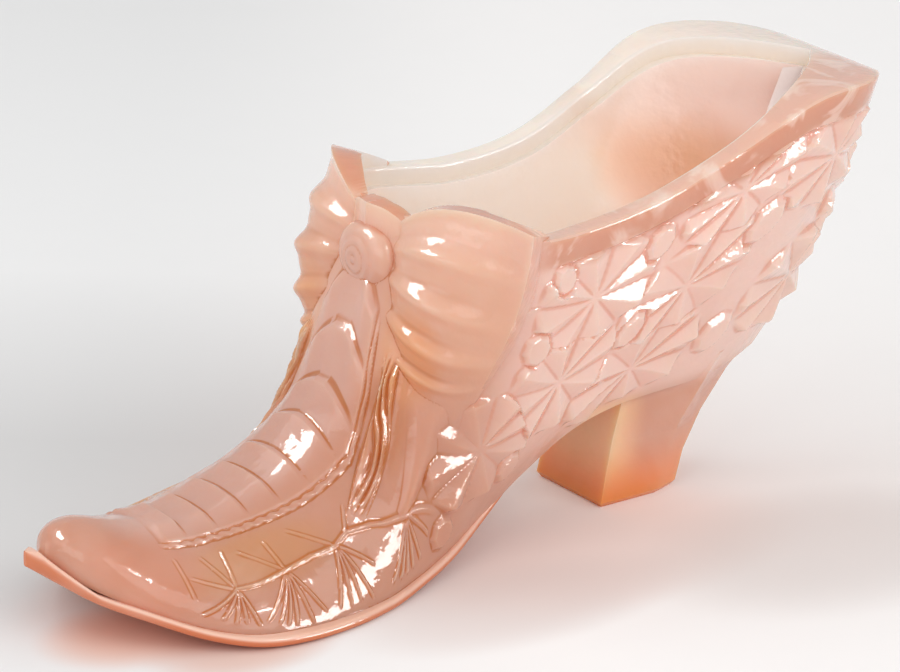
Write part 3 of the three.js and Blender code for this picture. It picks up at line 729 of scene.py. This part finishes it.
def loft_mesh(name, rings):
    """Closed mesh through rings of equal length, capped at both ends, as a Blender object in metres."""
    rings = np.asarray(rings, float)
    count, n = rings.shape[:2]
    mesh = bmesh.new()
    verts = [mesh.verts.new(p * MM) for p in rings.reshape(-1, 3)]
    for r in range(count - 1):
        for k in range(n):
            a, b = r * n + k, r * n + (k + 1) % n
            mesh.faces.new((verts[a], verts[a + n], verts[b + n], verts[b]))
    last = (count - 1) * n
    mesh.faces.new(verts[:n])
    mesh.faces.new(verts[last:][::-1])
    bmesh.ops.remove_doubles(mesh, verts=mesh.verts, dist=WELD)
    bmesh.ops.dissolve_degenerate(mesh, dist=LEAST_EDGE, edges=mesh.edges)
    bmesh.ops.triangulate(mesh, faces=mesh.faces)
    if mesh.calc_volume(signed=True) < 0:
        bmesh.ops.reverse_faces(mesh, faces=mesh.faces)
    return new_object(name, mesh)


def mirrored(half):
    """A ring from its +Y half: the other half in order, then this one back."""
    other = half * np.array([1, -1, 1])
    return np.concatenate([other, half[::-1]])


def upper():
    """The whole upper with its relief and a rounded rim, solid for now."""
    rows = [np.linspace(a, b, n, endpoint=False) for a, b, n in ROWS]
    stations = np.concatenate([*rows, [STATIONS]])[:, None]
    ups = np.linspace(0, 1, STEPS_UP + 1)[None, :]
    stations, ups = (np.array(v) for v in np.broadcast_arrays(stations, ups))
    plain = skin(stations, ups)
    points = plain + skin_normal(stations, ups) * relief(stations, ups)[..., None]
    near_top = np.clip((plain[..., 2] - plain[:, -1:, 2] + RIM_ROUND) / RIM_ROUND, 0, 1)
    turn = near_top * (stations > BAND_START)
    points[..., 1] -= RIM_ROUND * (1 - np.sqrt(1 - turn ** 2))
    middle = plain[..., 1] <= ON_MIDDLE
    points[..., 1] = np.where(middle, 0, np.maximum(points[..., 1], 0))
    points[..., 0] = np.minimum(points[..., 0], CAD_BOX[1].x / MM - CAD_MARGIN)
    return loft_mesh("upper", [mirrored(half) for half in points])


def sole_plate():
    """Thin plate with a rounded bead for an edge, thicker at the toe's lip."""
    rings = []
    knots = [0, TIP_LENGTH / 3, TIP_LENGTH]
    turns = np.linspace(-0.5, 0.5, BEAD_STEPS + 1) * math.pi
    for t in np.linspace(0, 1, SOLE_STEPS + 1):
        x, y, z = catmull(SOLE_EDGE, t)
        radius = np.interp(t, knots, [TIP_THICKNESS, LIP_THICKNESS, SOLE_THICKNESS]) / 2
        middle = max(z, 0) + radius
        inset = min(radius, y * BEAD_INSET)
        half = [[x, y - inset + inset * math.cos(a), middle + radius * math.sin(a)] for a in turns]
        rings.append(mirrored(np.array(half)))
    return loft_mesh("sole_plate", rings)


def heel():
    """Six-sided heel through its levels, on a small chamfer."""
    levels = np.array(HEEL_LEVELS)
    chamfer = levels[1, 0]
    heights = [0, chamfer / 2, *np.linspace(chamfer, levels[-1, 0], HEEL_STEPS)]
    rings = []
    for z in heights:
        sizes = (np.interp(z, levels[:, 0], column) for column in levels[:, 1:].T)
        front, corner, back, half, back_half = sizes
        rings.append([
            [front, -half, z], [corner, -half, z], [back, -back_half, z],
            [back, back_half, z], [corner, half, z], [front, half, z],
        ])
    return loft_mesh("heel", rings)


def inside_share(station):
    """Share of the full inner width that is left towards the back corner."""
    back = np.maximum((station - TAPER_START) / (HOLLOW_BACK - TAPER_START), 0)
    return np.maximum(1 - back ** TAPER_POWER, 0)


def station_at(x):
    """Station at which the top line reaches the given x."""
    stations = np.linspace(*THROAT_SEARCH)
    return np.interp(x, skin(stations, 1)[:, 0], stations)


def hollow():
    """The hollow of the foot: the skin drawn in by the wall, roofed as far as the throat."""
    rings = []
    ups = np.linspace(0, 1, HOLLOW_STEPS_UP + 1)
    throat = station_at(KNOT_CENTRE[0] + THROAT_BEHIND_KNOT)
    for station in np.linspace(HOLLOW_FRONT, HOLLOW_BACK, HOLLOW_STEPS + 1):
        nose = math.sqrt(1 - (1 - min((station - HOLLOW_FRONT) / NOSE_LENGTH, 1)) ** 2)
        section = skin(station, ups)
        foot, top = section[0], section[-1]
        floor = foot[2] + FLOOR + (HEEL_FLOOR - FLOOR) * smooth(station, RAMP_START, RAMP_END)
        opened = smooth(station, throat, throat + THROAT_RISE)
        ceiling = max(top[2] - ROOF * (1 - opened), floor + LEAST_HEIGHT)
        middle = (floor + ceiling) / 2
        share = (section[:, 2] - foot[2]) / (top[2] - foot[2])
        width = np.maximum(section[:, 1] - WALL, 0) * nose * inside_share(station)
        z = middle + (floor + (ceiling - floor) * share - middle) * max(nose, NOSE_LEAST)
        half = np.stack([section[:, 0], np.maximum(width, LEAST_HALF), z], -1)
        above = half[-1] + [0, 0, CLEAR_ABOVE * opened + LEAST_RISE]
        rings.append(mirrored(np.vstack([half, above])))
    return loft_mesh("hollow", rings)


def rim_recess():
    """Room inside the rim, with the rim's inner edge rounded."""
    rings = []
    turns = np.linspace(0, 0.5, RIM_ROUND_STEPS + 1) * math.pi
    for station in np.linspace(RECESS_FRONT, HOLLOW_BACK, HOLLOW_STEPS + 1):
        x, y, z = skin(station, 1)
        half = max((y - RIM_WIDTH) * inside_share(station), RECESS_LEAST_HALF)
        lip = [[x, half + RIM_ROUND * (1 - math.cos(a)), z + RIM_ROUND * (math.sin(a) - 1)] for a in turns]
        side = np.array([[x, half, z - RECESS_DEPTH], *lip, [x, half + RIM_ROUND, z + CLEAR_ABOVE]])
        rings.append(mirrored(side))
    return loft_mesh("recess", rings)


def bow_loop(side):
    """One pleated loop of the bow, on the side given as 1 or -1."""
    t = np.linspace(0, 1, LOOP_STEPS + 1)
    root, crest, edge = (catmull(line, t) for line in (LOOP_ROOT, LOOP_CREST, LOOP_EDGE))
    face = t / LOOP_FACE
    turn = 2 * math.pi * PLEATS * face
    second = PLEAT_SECOND_WAVE * np.cos(2 * turn + PLEAT_SECOND_SHIFT)
    fold = (np.cos(turn) + second) * (1 - smooth(face, *PLEAT_FADE))
    k = np.linspace(0, 1, LOOP_ACROSS + 1)[None, :, None]
    control = 2 * crest - (root + edge) / 2
    front = root[:, None] * (1 - k) ** 2 + 2 * control[:, None] * k * (1 - k) + edge[:, None] * k * k
    across = PLEAT_SPAN[0] + (PLEAT_SPAN[1] - PLEAT_SPAN[0]) * k[..., 0]
    wave = PLEAT_LIFT * fold[:, None] * np.sin(math.pi * across)
    front = front + wave[..., None] * np.array(PLEAT_LEAN)
    depth = np.array(LOOP_DEPTH[0]) + (np.array(LOOP_DEPTH[1]) - LOOP_DEPTH[0]) * k
    back = (front + depth)[:, ::-1]
    rows = np.concatenate([front, back], 1)
    rows[..., 1] = np.clip(rows[..., 1], LOOP_LEAST_HALF, CAD_BOX[1].y / MM - CAD_MARGIN) * side
    return loft_mesh("loop", rows)


def throat_tab(side):
    """Half of the tab behind the knot; the halves overlap in the middle."""
    rows = []
    for t in np.linspace(0, 1, TAB_STEPS + 1):
        x, y, z = catmull(THROAT_TAB, t)
        y = side * (y if t > 0 else -TAB_OVERLAP)
        front, back, low = x - TAB_FRONT, x + TAB_DEPTH, z - TAB_HEIGHT
        rows.append([[x, y, z], [back, y, z], [back, y, low], [front, y, low]])
    return loft_mesh("tab", rows)


def knot():
    """Flattened round knot with a ringed swirl on its face."""
    mesh = bmesh.new()
    bmesh.ops.create_uvsphere(mesh, u_segments=KNOT_AROUND, v_segments=KNOT_LEVELS, radius=1)
    for v in mesh.verts:
        out = math.hypot(KNOT_RADII[1] * v.co.y, KNOT_RADII[2] * v.co.z)
        on_face = (v.co.x < 0) * (1 - smooth(out, *SWIRL_FADE))
        wave = SWIRL_LIFT * math.cos(2 * math.pi * out / SWIRL_PITCH) * on_face
        x, y, z = (c + r * q for c, r, q in zip(KNOT_CENTRE, KNOT_RADII, v.co))
        v.co = Vector([x - wave, y, z]) * MM
    bmesh.ops.triangulate(mesh, faces=mesh.faces)
    return new_object("knot", mesh)


def joined(base, others, operation):
    """The base with each other body joined to it or cut from it."""
    scene = bpy.context.scene.collection
    scene.objects.link(base)
    for other in others:
        scene.objects.link(other)
        step = base.modifiers.new("step", "BOOLEAN")
        step.operation = operation
        step.solver = "MANIFOLD"
        step.material_mode = "TRANSFER"
        step.object = other
        bpy.context.view_layer.update()
        result = base.evaluated_get(bpy.context.evaluated_depsgraph_get())
        made = bpy.data.meshes.new_from_object(result)
        base.modifiers.clear()
        base.data = made
        bpy.data.objects.remove(other)
    scene.objects.unlink(base)
    return base


def painted(piece, material):
    """The piece with its one glass."""
    piece.data.materials.append(material)
    return piece


def slipper_mesh():
    """All forms joined into one body, then the hollow and the recess cut from it."""
    body = glass_look("opalescent_glass", body_colour, *BODY_GLASS)
    plate = glass_look("plate_glass", plate_colour, *PLATE_GLASS)
    inside = glass_look("inside_glass", inside_colour, *INSIDE_GLASS, INSIDE_GLOSS, INSIDE_SCATTER)
    rim = glass_look("rim_glass", rim_colour, *RIM_GLASS, RIM_GLOSS, INSIDE_SCATTER)
    parts = [painted(sole_plate(), plate), painted(heel(), body), painted(knot(), body)]
    parts += [painted(make(side), body) for side in (-1, 1) for make in (bow_loop, throat_tab)]
    whole = joined(painted(upper(), body), parts, "UNION")
    return joined(whole, [painted(hollow(), inside), painted(rim_recess(), rim)], "DIFFERENCE")


def linear(colour):
    """Screen colour out of 255 as linear light."""
    parts = [c / 255 for c in colour]
    return [*(c / 12.92 if c <= 0.04045 else ((c + 0.055) / 1.055) ** 2.4 for c in parts), 1]


class Nodes:
    """Short forms for the node kinds used below; a number or an output can feed any input."""

    def __init__(self, material):
        material.use_nodes = True
        self.tree = material.node_tree
        self.shader = self.tree.nodes["Principled BSDF"]

    def feed(self, socket, value):
        if isinstance(value, bpy.types.NodeSocket):
            self.tree.links.new(value, socket)
        else:
            socket.default_value = value

    def coordinate(self):
        node = self.tree.nodes.new("ShaderNodeTexCoord")
        return node.outputs["Object"]

    def axes(self, vector):
        node = self.tree.nodes.new("ShaderNodeSeparateXYZ")
        self.feed(node.inputs[0], vector)
        return node.outputs

    def ramp(self, value, low, high):
        """Smooth step from 0 at `low` to 1 at `high`."""
        node = self.tree.nodes.new("ShaderNodeMapRange")
        node.interpolation_type = "SMOOTHSTEP"
        self.feed(node.inputs["Value"], value)
        rising = low < high
        node.inputs["From Min"].default_value = min(low, high)
        node.inputs["From Max"].default_value = max(low, high)
        node.inputs["To Min"].default_value = 0 if rising else 1
        node.inputs["To Max"].default_value = 1 if rising else 0
        return node.outputs["Result"]

    def math(self, operation, a, b=0.0):
        node = self.tree.nodes.new("ShaderNodeMath")
        node.operation = operation
        self.feed(node.inputs[0], a)
        self.feed(node.inputs[1], b)
        return node.outputs[0]

    def times(self, *values):
        total = values[0]
        for value in values[1:]:
            total = self.math("MULTIPLY", total, value)
        return total

    def mix(self, share, a, b):
        node = self.tree.nodes.new("ShaderNodeMix")
        node.data_type = "RGBA"
        self.feed(node.inputs["Factor"], share)
        self.feed(node.inputs["A"], a)
        self.feed(node.inputs["B"], b)
        return node.outputs["Result"]

    def noise(self, vector, scale, detail=2.0, distortion=0.0):
        node = self.tree.nodes.new("ShaderNodeTexNoise")
        self.feed(node.inputs["Vector"], vector)
        node.inputs["Scale"].default_value = scale
        node.inputs["Detail"].default_value = detail
        node.inputs["Distortion"].default_value = distortion
        return node.outputs["Fac"]

    def spot(self, place, centre, reach, both_sides=True):
        """1 at a centre, fading to 0 at its reach; with both sides, y counts without its sign."""
        x, y, z = self.axes(place)
        if both_sides:
            y = self.math("ABSOLUTE", y)
        terms = []
        for value, middle, size in zip((x, y, z), centre, reach):
            off = self.times(self.math("SUBTRACT", value, middle), 1 / size)
            terms.append(self.times(off, off))
        total = self.math("ADD", self.math("ADD", terms[0], terms[1]), terms[2])
        return self.ramp(total, 1.0, SPOT_CORE)

    def greys(self, value, stops):
        """Grey by value, through stops of (value, grey out of 255)."""
        first, last = stops[0][0], stops[-1][0]
        node = self.tree.nodes.new("ShaderNodeValToRGB")
        share = self.times(self.math("SUBTRACT", value, first), 1 / (last - first))
        self.feed(node.inputs["Fac"], share)
        points = node.color_ramp.elements
        for stop, grey in stops[1:-1]:
            points.new((stop - first) / (last - first)).color = linear((grey, grey, grey))
        points[0].color = linear((stops[0][1],) * 3)
        points[len(stops) - 1].color = linear((stops[-1][1],) * 3)
        return node.outputs["Color"]

    def screen(self, grey):
        """Number from 0 to 1 back from a grey that was written out of 255."""
        return self.math("SUBTRACT", self.times(self.math("POWER", grey, 1 / 2.4), 1.055), 0.055)

    def facing_up(self):
        return self.axes(self.tree.nodes.new("ShaderNodeNewGeometry").outputs["Normal"])[2]

    def pointiness(self):
        return self.tree.nodes.new("ShaderNodeNewGeometry").outputs["Pointiness"]

    def bump(self, height, distance, strength=1.0, normal=None):
        node = self.tree.nodes.new("ShaderNodeBump")
        self.feed(node.inputs["Height"], height)
        node.inputs["Distance"].default_value = distance
        node.inputs["Strength"].default_value = strength
        if normal is not None:
            self.feed(node.inputs["Normal"], normal)
        return node.outputs["Normal"]


def glass_look(name, colour_of, clear, milk, scale, gloss=BODY_GLOSS, scatter=BODY_SCATTER):
    """Milky glossy glass; `clear` is the share seen through, `milk` the share that scatters inside."""
    material = bpy.data.materials.new(name)
    nodes = Nodes(material)
    place = nodes.coordinate()
    cloud = nodes.noise(place, *CLOUD_NOISE)
    pale = nodes.times(nodes.ramp(cloud, *CLOUD_PALE), CLOUD_PALE_SHARE)
    amber = nodes.times(nodes.ramp(cloud, *CLOUD_AMBER), CLOUD_AMBER_SHARE)
    colour = nodes.mix(pale, colour_of(nodes, place), linear(PALE))
    colour = nodes.mix(amber, colour, linear(AMBER))
    rough = nodes.noise(place, *ROUGH_NOISE)
    low, high = gloss
    waves = nodes.bump(nodes.noise(place, *WAVE_NOISE), WAVE_DEPTH, WAVE_STRENGTH)
    ripples = nodes.bump(nodes.noise(place, *RIPPLE_NOISE), RIPPLE_DEPTH, RIPPLE_STRENGTH, waves)
    sockets = nodes.shader.inputs
    nodes.feed(sockets["Base Color"], colour)
    nodes.feed(sockets["Roughness"], nodes.math("ADD", nodes.times(rough, high - low), low))
    nodes.feed(sockets["Normal"], ripples)
    sockets["IOR"].default_value = GLASS_IOR
    sockets["Transmission Weight"].default_value = clear
    sockets["Subsurface Weight"].default_value = milk
    sockets["Subsurface Radius"].default_value = scatter
    sockets["Subsurface Scale"].default_value = scale
    return material


def body_colour(nodes, place):
    """Colour of the outside by region: foot, side, bow, panel, heel, rim band, with painted shade in the
    creases and recesses.
    """
    colour = region_colours(nodes, place)
    # Tinted places; the first is painted shade in the recess under the bow.
    for centre, reach, tint, share in TINTS_WITH_RECESS_SHADE:
        colour = nodes.mix(nodes.times(nodes.spot(place, centre, reach), share), colour, linear(tint))
    x, _, z = nodes.axes(place)
    edges = nodes.pointiness()
    # Painted shade: creases behind the bow are tinted deeper pink.
    pink_crease_shade = nodes.times(nodes.ramp(edges, *PINK_CREASE_SHADE_EDGES), nodes.ramp(x, *PINK_CREASE_SHADE_X), PINK_CREASE_SHADE_SHARE)
    colour = nodes.mix(pink_crease_shade, colour, linear(PINK_CREASE_SHADE))
    colour = with_rim_band(nodes, place, colour)
    # Painted shade: creases in front of the bow are tinted amber.
    front = nodes.times(nodes.ramp(x, *AMBER_SHADE_X), nodes.ramp(z, *AMBER_SHADE_Z))
    amber = nodes.times(nodes.ramp(edges, *AMBER_CREASE_SHADE_EDGES), front, AMBER_SHADE_SHARE)
    return nodes.mix(amber, colour, linear(AMBER))


def region_colours(nodes, place):
    """Colours of the foot, the side, the bow, the heel and the panel, blended at their borders; the heel's
    front is painted lighter and its foot painted with the orange glow of light through it.
    """
    x, y, z = nodes.axes(place)
    side = nodes.times(nodes.ramp(x, *SIDE_X), nodes.ramp(z, *SIDE_Z))
    colour = nodes.mix(side, linear(FOOT_COLOUR), linear(SIDE_COLOUR))
    bow = nodes.times(nodes.ramp(x, *BOW_X), nodes.ramp(z, *BOW_Z))
    cloth = nodes.mix(nodes.ramp(z, *BOW_TOP_Z), linear(BOW_COLOUR), linear(BOW_TOP_COLOUR))
    colour = nodes.mix(bow, colour, cloth)
    bow_edge = nodes.times(nodes.ramp(x, *BOW_EDGE_X), nodes.ramp(z, *BOW_EDGE_Z))
    bow_edge = nodes.times(bow_edge, nodes.ramp(nodes.facing_up(), *BOW_EDGE_FACING), BOW_EDGE_SHARE)
    colour = nodes.mix(bow_edge, colour, linear(BOW_EDGE_COLOUR))
    at_heel = nodes.ramp(x, *HEEL_X)
    heel_area = nodes.times(at_heel, nodes.ramp(z, *HEEL_Z))
    colour = nodes.mix(heel_area, colour, linear(HEEL_COLOUR))
    # Painted light: the heel's front face is lightened.
    heel_front_light = nodes.times(heel_area, nodes.ramp(x, *HEEL_FRONT_LIGHT_X))
    colour = nodes.mix(heel_front_light, colour, linear(HEEL_FRONT_PAINTED_LIGHT))
    # Painted glow: the heel's foot is orange for light passing through it.
    heel_low_glow = nodes.times(at_heel, nodes.ramp(z, *HEEL_LOW_GLOW_Z))
    colour = nodes.mix(heel_low_glow, colour, linear(HEEL_LOW_GLOW_COLOUR))
    crest = nodes.ramp(nodes.math("ABSOLUTE", y), *PANEL_Y)
    crest = nodes.times(crest, nodes.ramp(x, *PANEL_BACK_X), nodes.ramp(x, *PANEL_FRONT_X), PANEL_SHARE)
    return nodes.mix(crest, colour, linear(PANEL_COLOUR))


def with_rim_band(nodes, place, colour):
    """The colour with the streaked band under the rim and the rim's pale top face over it."""
    x, y, z = nodes.axes(place)
    line = [(point[0] * MM, 255 * point[2] / RIM_SCALE) for point in TOP_LINE[RIM_FROM_STATION:]]
    rim_height = nodes.times(nodes.screen(nodes.greys(x, line)), RIM_SCALE * MM)
    under = nodes.math("SUBTRACT", rim_height, z)
    band = nodes.times(nodes.ramp(under, *BAND_UNDER), nodes.ramp(x, *BAND_X))
    top_face = nodes.mix(nodes.ramp(y, *TOP_FACE_Y), linear(RIM_NEAR_COLOUR), linear(RIM_COLOUR))
    rim = nodes.mix(nodes.ramp(nodes.facing_up(), *TOP_FACING), linear(BAND_COLOUR), top_face)
    colour = nodes.mix(nodes.times(band, BAND_SHARE), colour, rim)
    streaks = nodes.ramp(nodes.noise(place, *STREAK_NOISE), *STREAK_RAMP)
    return nodes.mix(nodes.times(band, streaks, STREAK_SHARE), colour, linear(RIM_COLOUR))


def inside_colour(nodes, place):
    """Pale inside, painted near-white for the light that comes through the far wall, with a warm place in
    the heel and a darker top.
    """
    _, _, z = nodes.axes(place)
    warm = nodes.spot(place, *INSIDE_WARM_PLACE)
    # Painted light: the near-white base stands for light coming through the wall.
    colour = nodes.mix(warm, linear(INSIDE_BACKLIT_COLOUR), linear(INSIDE_WARM))
    return nodes.mix(nodes.ramp(z, *INSIDE_TOP_Z), colour, linear(INSIDE_TOP))


def plate_colour(nodes, place):
    """Orange edge of the sole plate, painted as the glow of light passing through it, and painted lighter
    where it faces up.
    """
    # Painted light on the upward face, painted glow on the edge.
    up = nodes.ramp(nodes.facing_up(), *PLATE_LIT_FACING)
    return nodes.mix(up, linear(PLATE_EDGE_GLOW_COLOUR), linear(PLATE_TOP_LIT_COLOUR))


def rim_colour(nodes, place):
    """One plain colour, as the recess inside the rim has."""
    return linear(RIM_COLOUR)


def make_slipper():
    """The one piece, riding the part's root in place of the solid."""
    body = slipper_mesh()
    body.name = "slipper_glass"
    bpy.context.scene.collection.objects.link(body)
    body.data.shade_smooth()
    body.data.set_sharp_from_angle(angle=SHARP_ANGLE)
    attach(body, "root")
    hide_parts("slipper")


def make_camera():
    """Camera that sees the slipper as the photograph shows it."""
    turn, rise, roll = CAM_AZIMUTH, CAM_ELEVATION, CAM_ROLL
    back = Vector((math.sin(turn) * math.cos(rise), -math.cos(turn) * math.cos(rise), math.sin(rise)))
    right = Vector((math.cos(turn), math.sin(turn), 0))
    up = back.cross(right)
    turned_right = right * math.cos(roll) + up * math.sin(roll)
    turned_up = up * math.cos(roll) - right * math.sin(roll)
    data = bpy.data.cameras.new("camera")
    data.sensor_width = SENSOR
    data.lens = CAM_FOCAL / PHOTO_WIDTH * SENSOR
    data.clip_start = CAM_CLIP
    camera = bpy.data.objects.new("camera", data)
    place = Vector(CAM_TARGET) * MM + back * CAM_DISTANCE * MM
    facing = Matrix((turned_right, turned_up, back)).transposed().to_4x4()
    camera.matrix_world = Matrix.Translation(place) @ facing
    bpy.context.scene.collection.objects.link(camera)
    bpy.context.scene.camera = camera


def lamp(name, turn, rise, distance, width, height, power, gleam):
    """Rectangular lamp; a gleam lamp shows in the gloss alone and adds nothing to the plain light."""
    data = bpy.data.lights.new(name, "AREA")
    data.shape = "RECTANGLE"
    data.size = width
    data.size_y = height
    data.energy = power
    piece = bpy.data.objects.new(name, data)
    turn, rise = math.radians(turn), math.radians(rise)
    out = Vector((math.cos(turn) * math.cos(rise), math.sin(turn) * math.cos(rise), math.sin(rise)))
    piece.location = out * distance + Vector(LAMP_AIM)
    piece.rotation_euler = (-out).to_track_quat("-Z", "Y").to_euler()
    piece.visible_diffuse = not gleam
    piece.visible_transmission = not gleam
    bpy.context.scene.collection.objects.link(piece)


def paper():
    """Pale paper with painted light and shade: greys by depth, lighter to the right, the warm glow of
    light through the glass and painted shadows.
    """
    material = bpy.data.materials.new("paper")
    nodes = Nodes(material)
    place = nodes.coordinate()
    x, y, _ = nodes.axes(place)
    turn_x, turn_y = math.cos(CAM_AZIMUTH), math.sin(CAM_AZIMUTH)
    across = nodes.math("ADD", nodes.times(x, turn_x), nodes.times(y, turn_y))
    depth = nodes.math("ADD", nodes.times(x, -turn_y), nodes.times(y, turn_x))
    # Painted shading: greys by depth, with a darker band where shade falls.
    colour = nodes.greys(depth, FLOOR_SHADE_GREYS)
    # Painted light: the floor is lightened towards the right.
    right = nodes.times(nodes.ramp(across, *FLOOR_LIT_RIGHT_FROM), FLOOR_LIT_RIGHT_SHARE)
    colour = nodes.mix(right, colour, linear(FLOOR_LIT_RIGHT))
    grain = nodes.ramp(nodes.noise(place, *FLOOR_GRAIN_NOISE), *FLOOR_GRAIN_RAMP)
    colour = nodes.mix(nodes.times(grain, FLOOR_GRAIN_SHARE), colour, linear(FLOOR_GRAIN))
    # Painted glow of light through the glass, and painted shadows, laid on the floor.
    for centre, reach, tint, share in FLOOR_GLOW_AND_SHADOW_SPOTS:
        spot = nodes.spot(place, centre, reach, both_sides=False)
        colour = nodes.mix(nodes.times(spot, share), colour, linear(tint))
    nodes.feed(nodes.shader.inputs["Base Color"], colour)
    nodes.shader.inputs["Roughness"].default_value = FLOOR_ROUGHNESS
    nodes.shader.inputs["Specular IOR Level"].default_value = 0.0
    return material


def make_stage():
    """Floor, lamps and world."""
    mesh = bmesh.new()
    bmesh.ops.create_grid(mesh, x_segments=2, y_segments=2, size=FLOOR_HALF)
    floor = new_object("floor", mesh)
    bpy.context.scene.collection.objects.link(floor)
    floor.data.materials.append(paper())
    for name, settings in LAMPS.items():
        lamp(name, *settings)
    world = bpy.data.worlds.new("studio")
    bpy.context.scene.world = world
    world.use_nodes = True
    background = world.node_tree.nodes["Background"].inputs
    background["Color"].default_value = (1, 1, 1, 1)
    background["Strength"].default_value = WORLD_LIGHT
    bpy.context.scene.view_settings.view_transform = "Standard"


make_slipper()
make_stage()
make_camera()
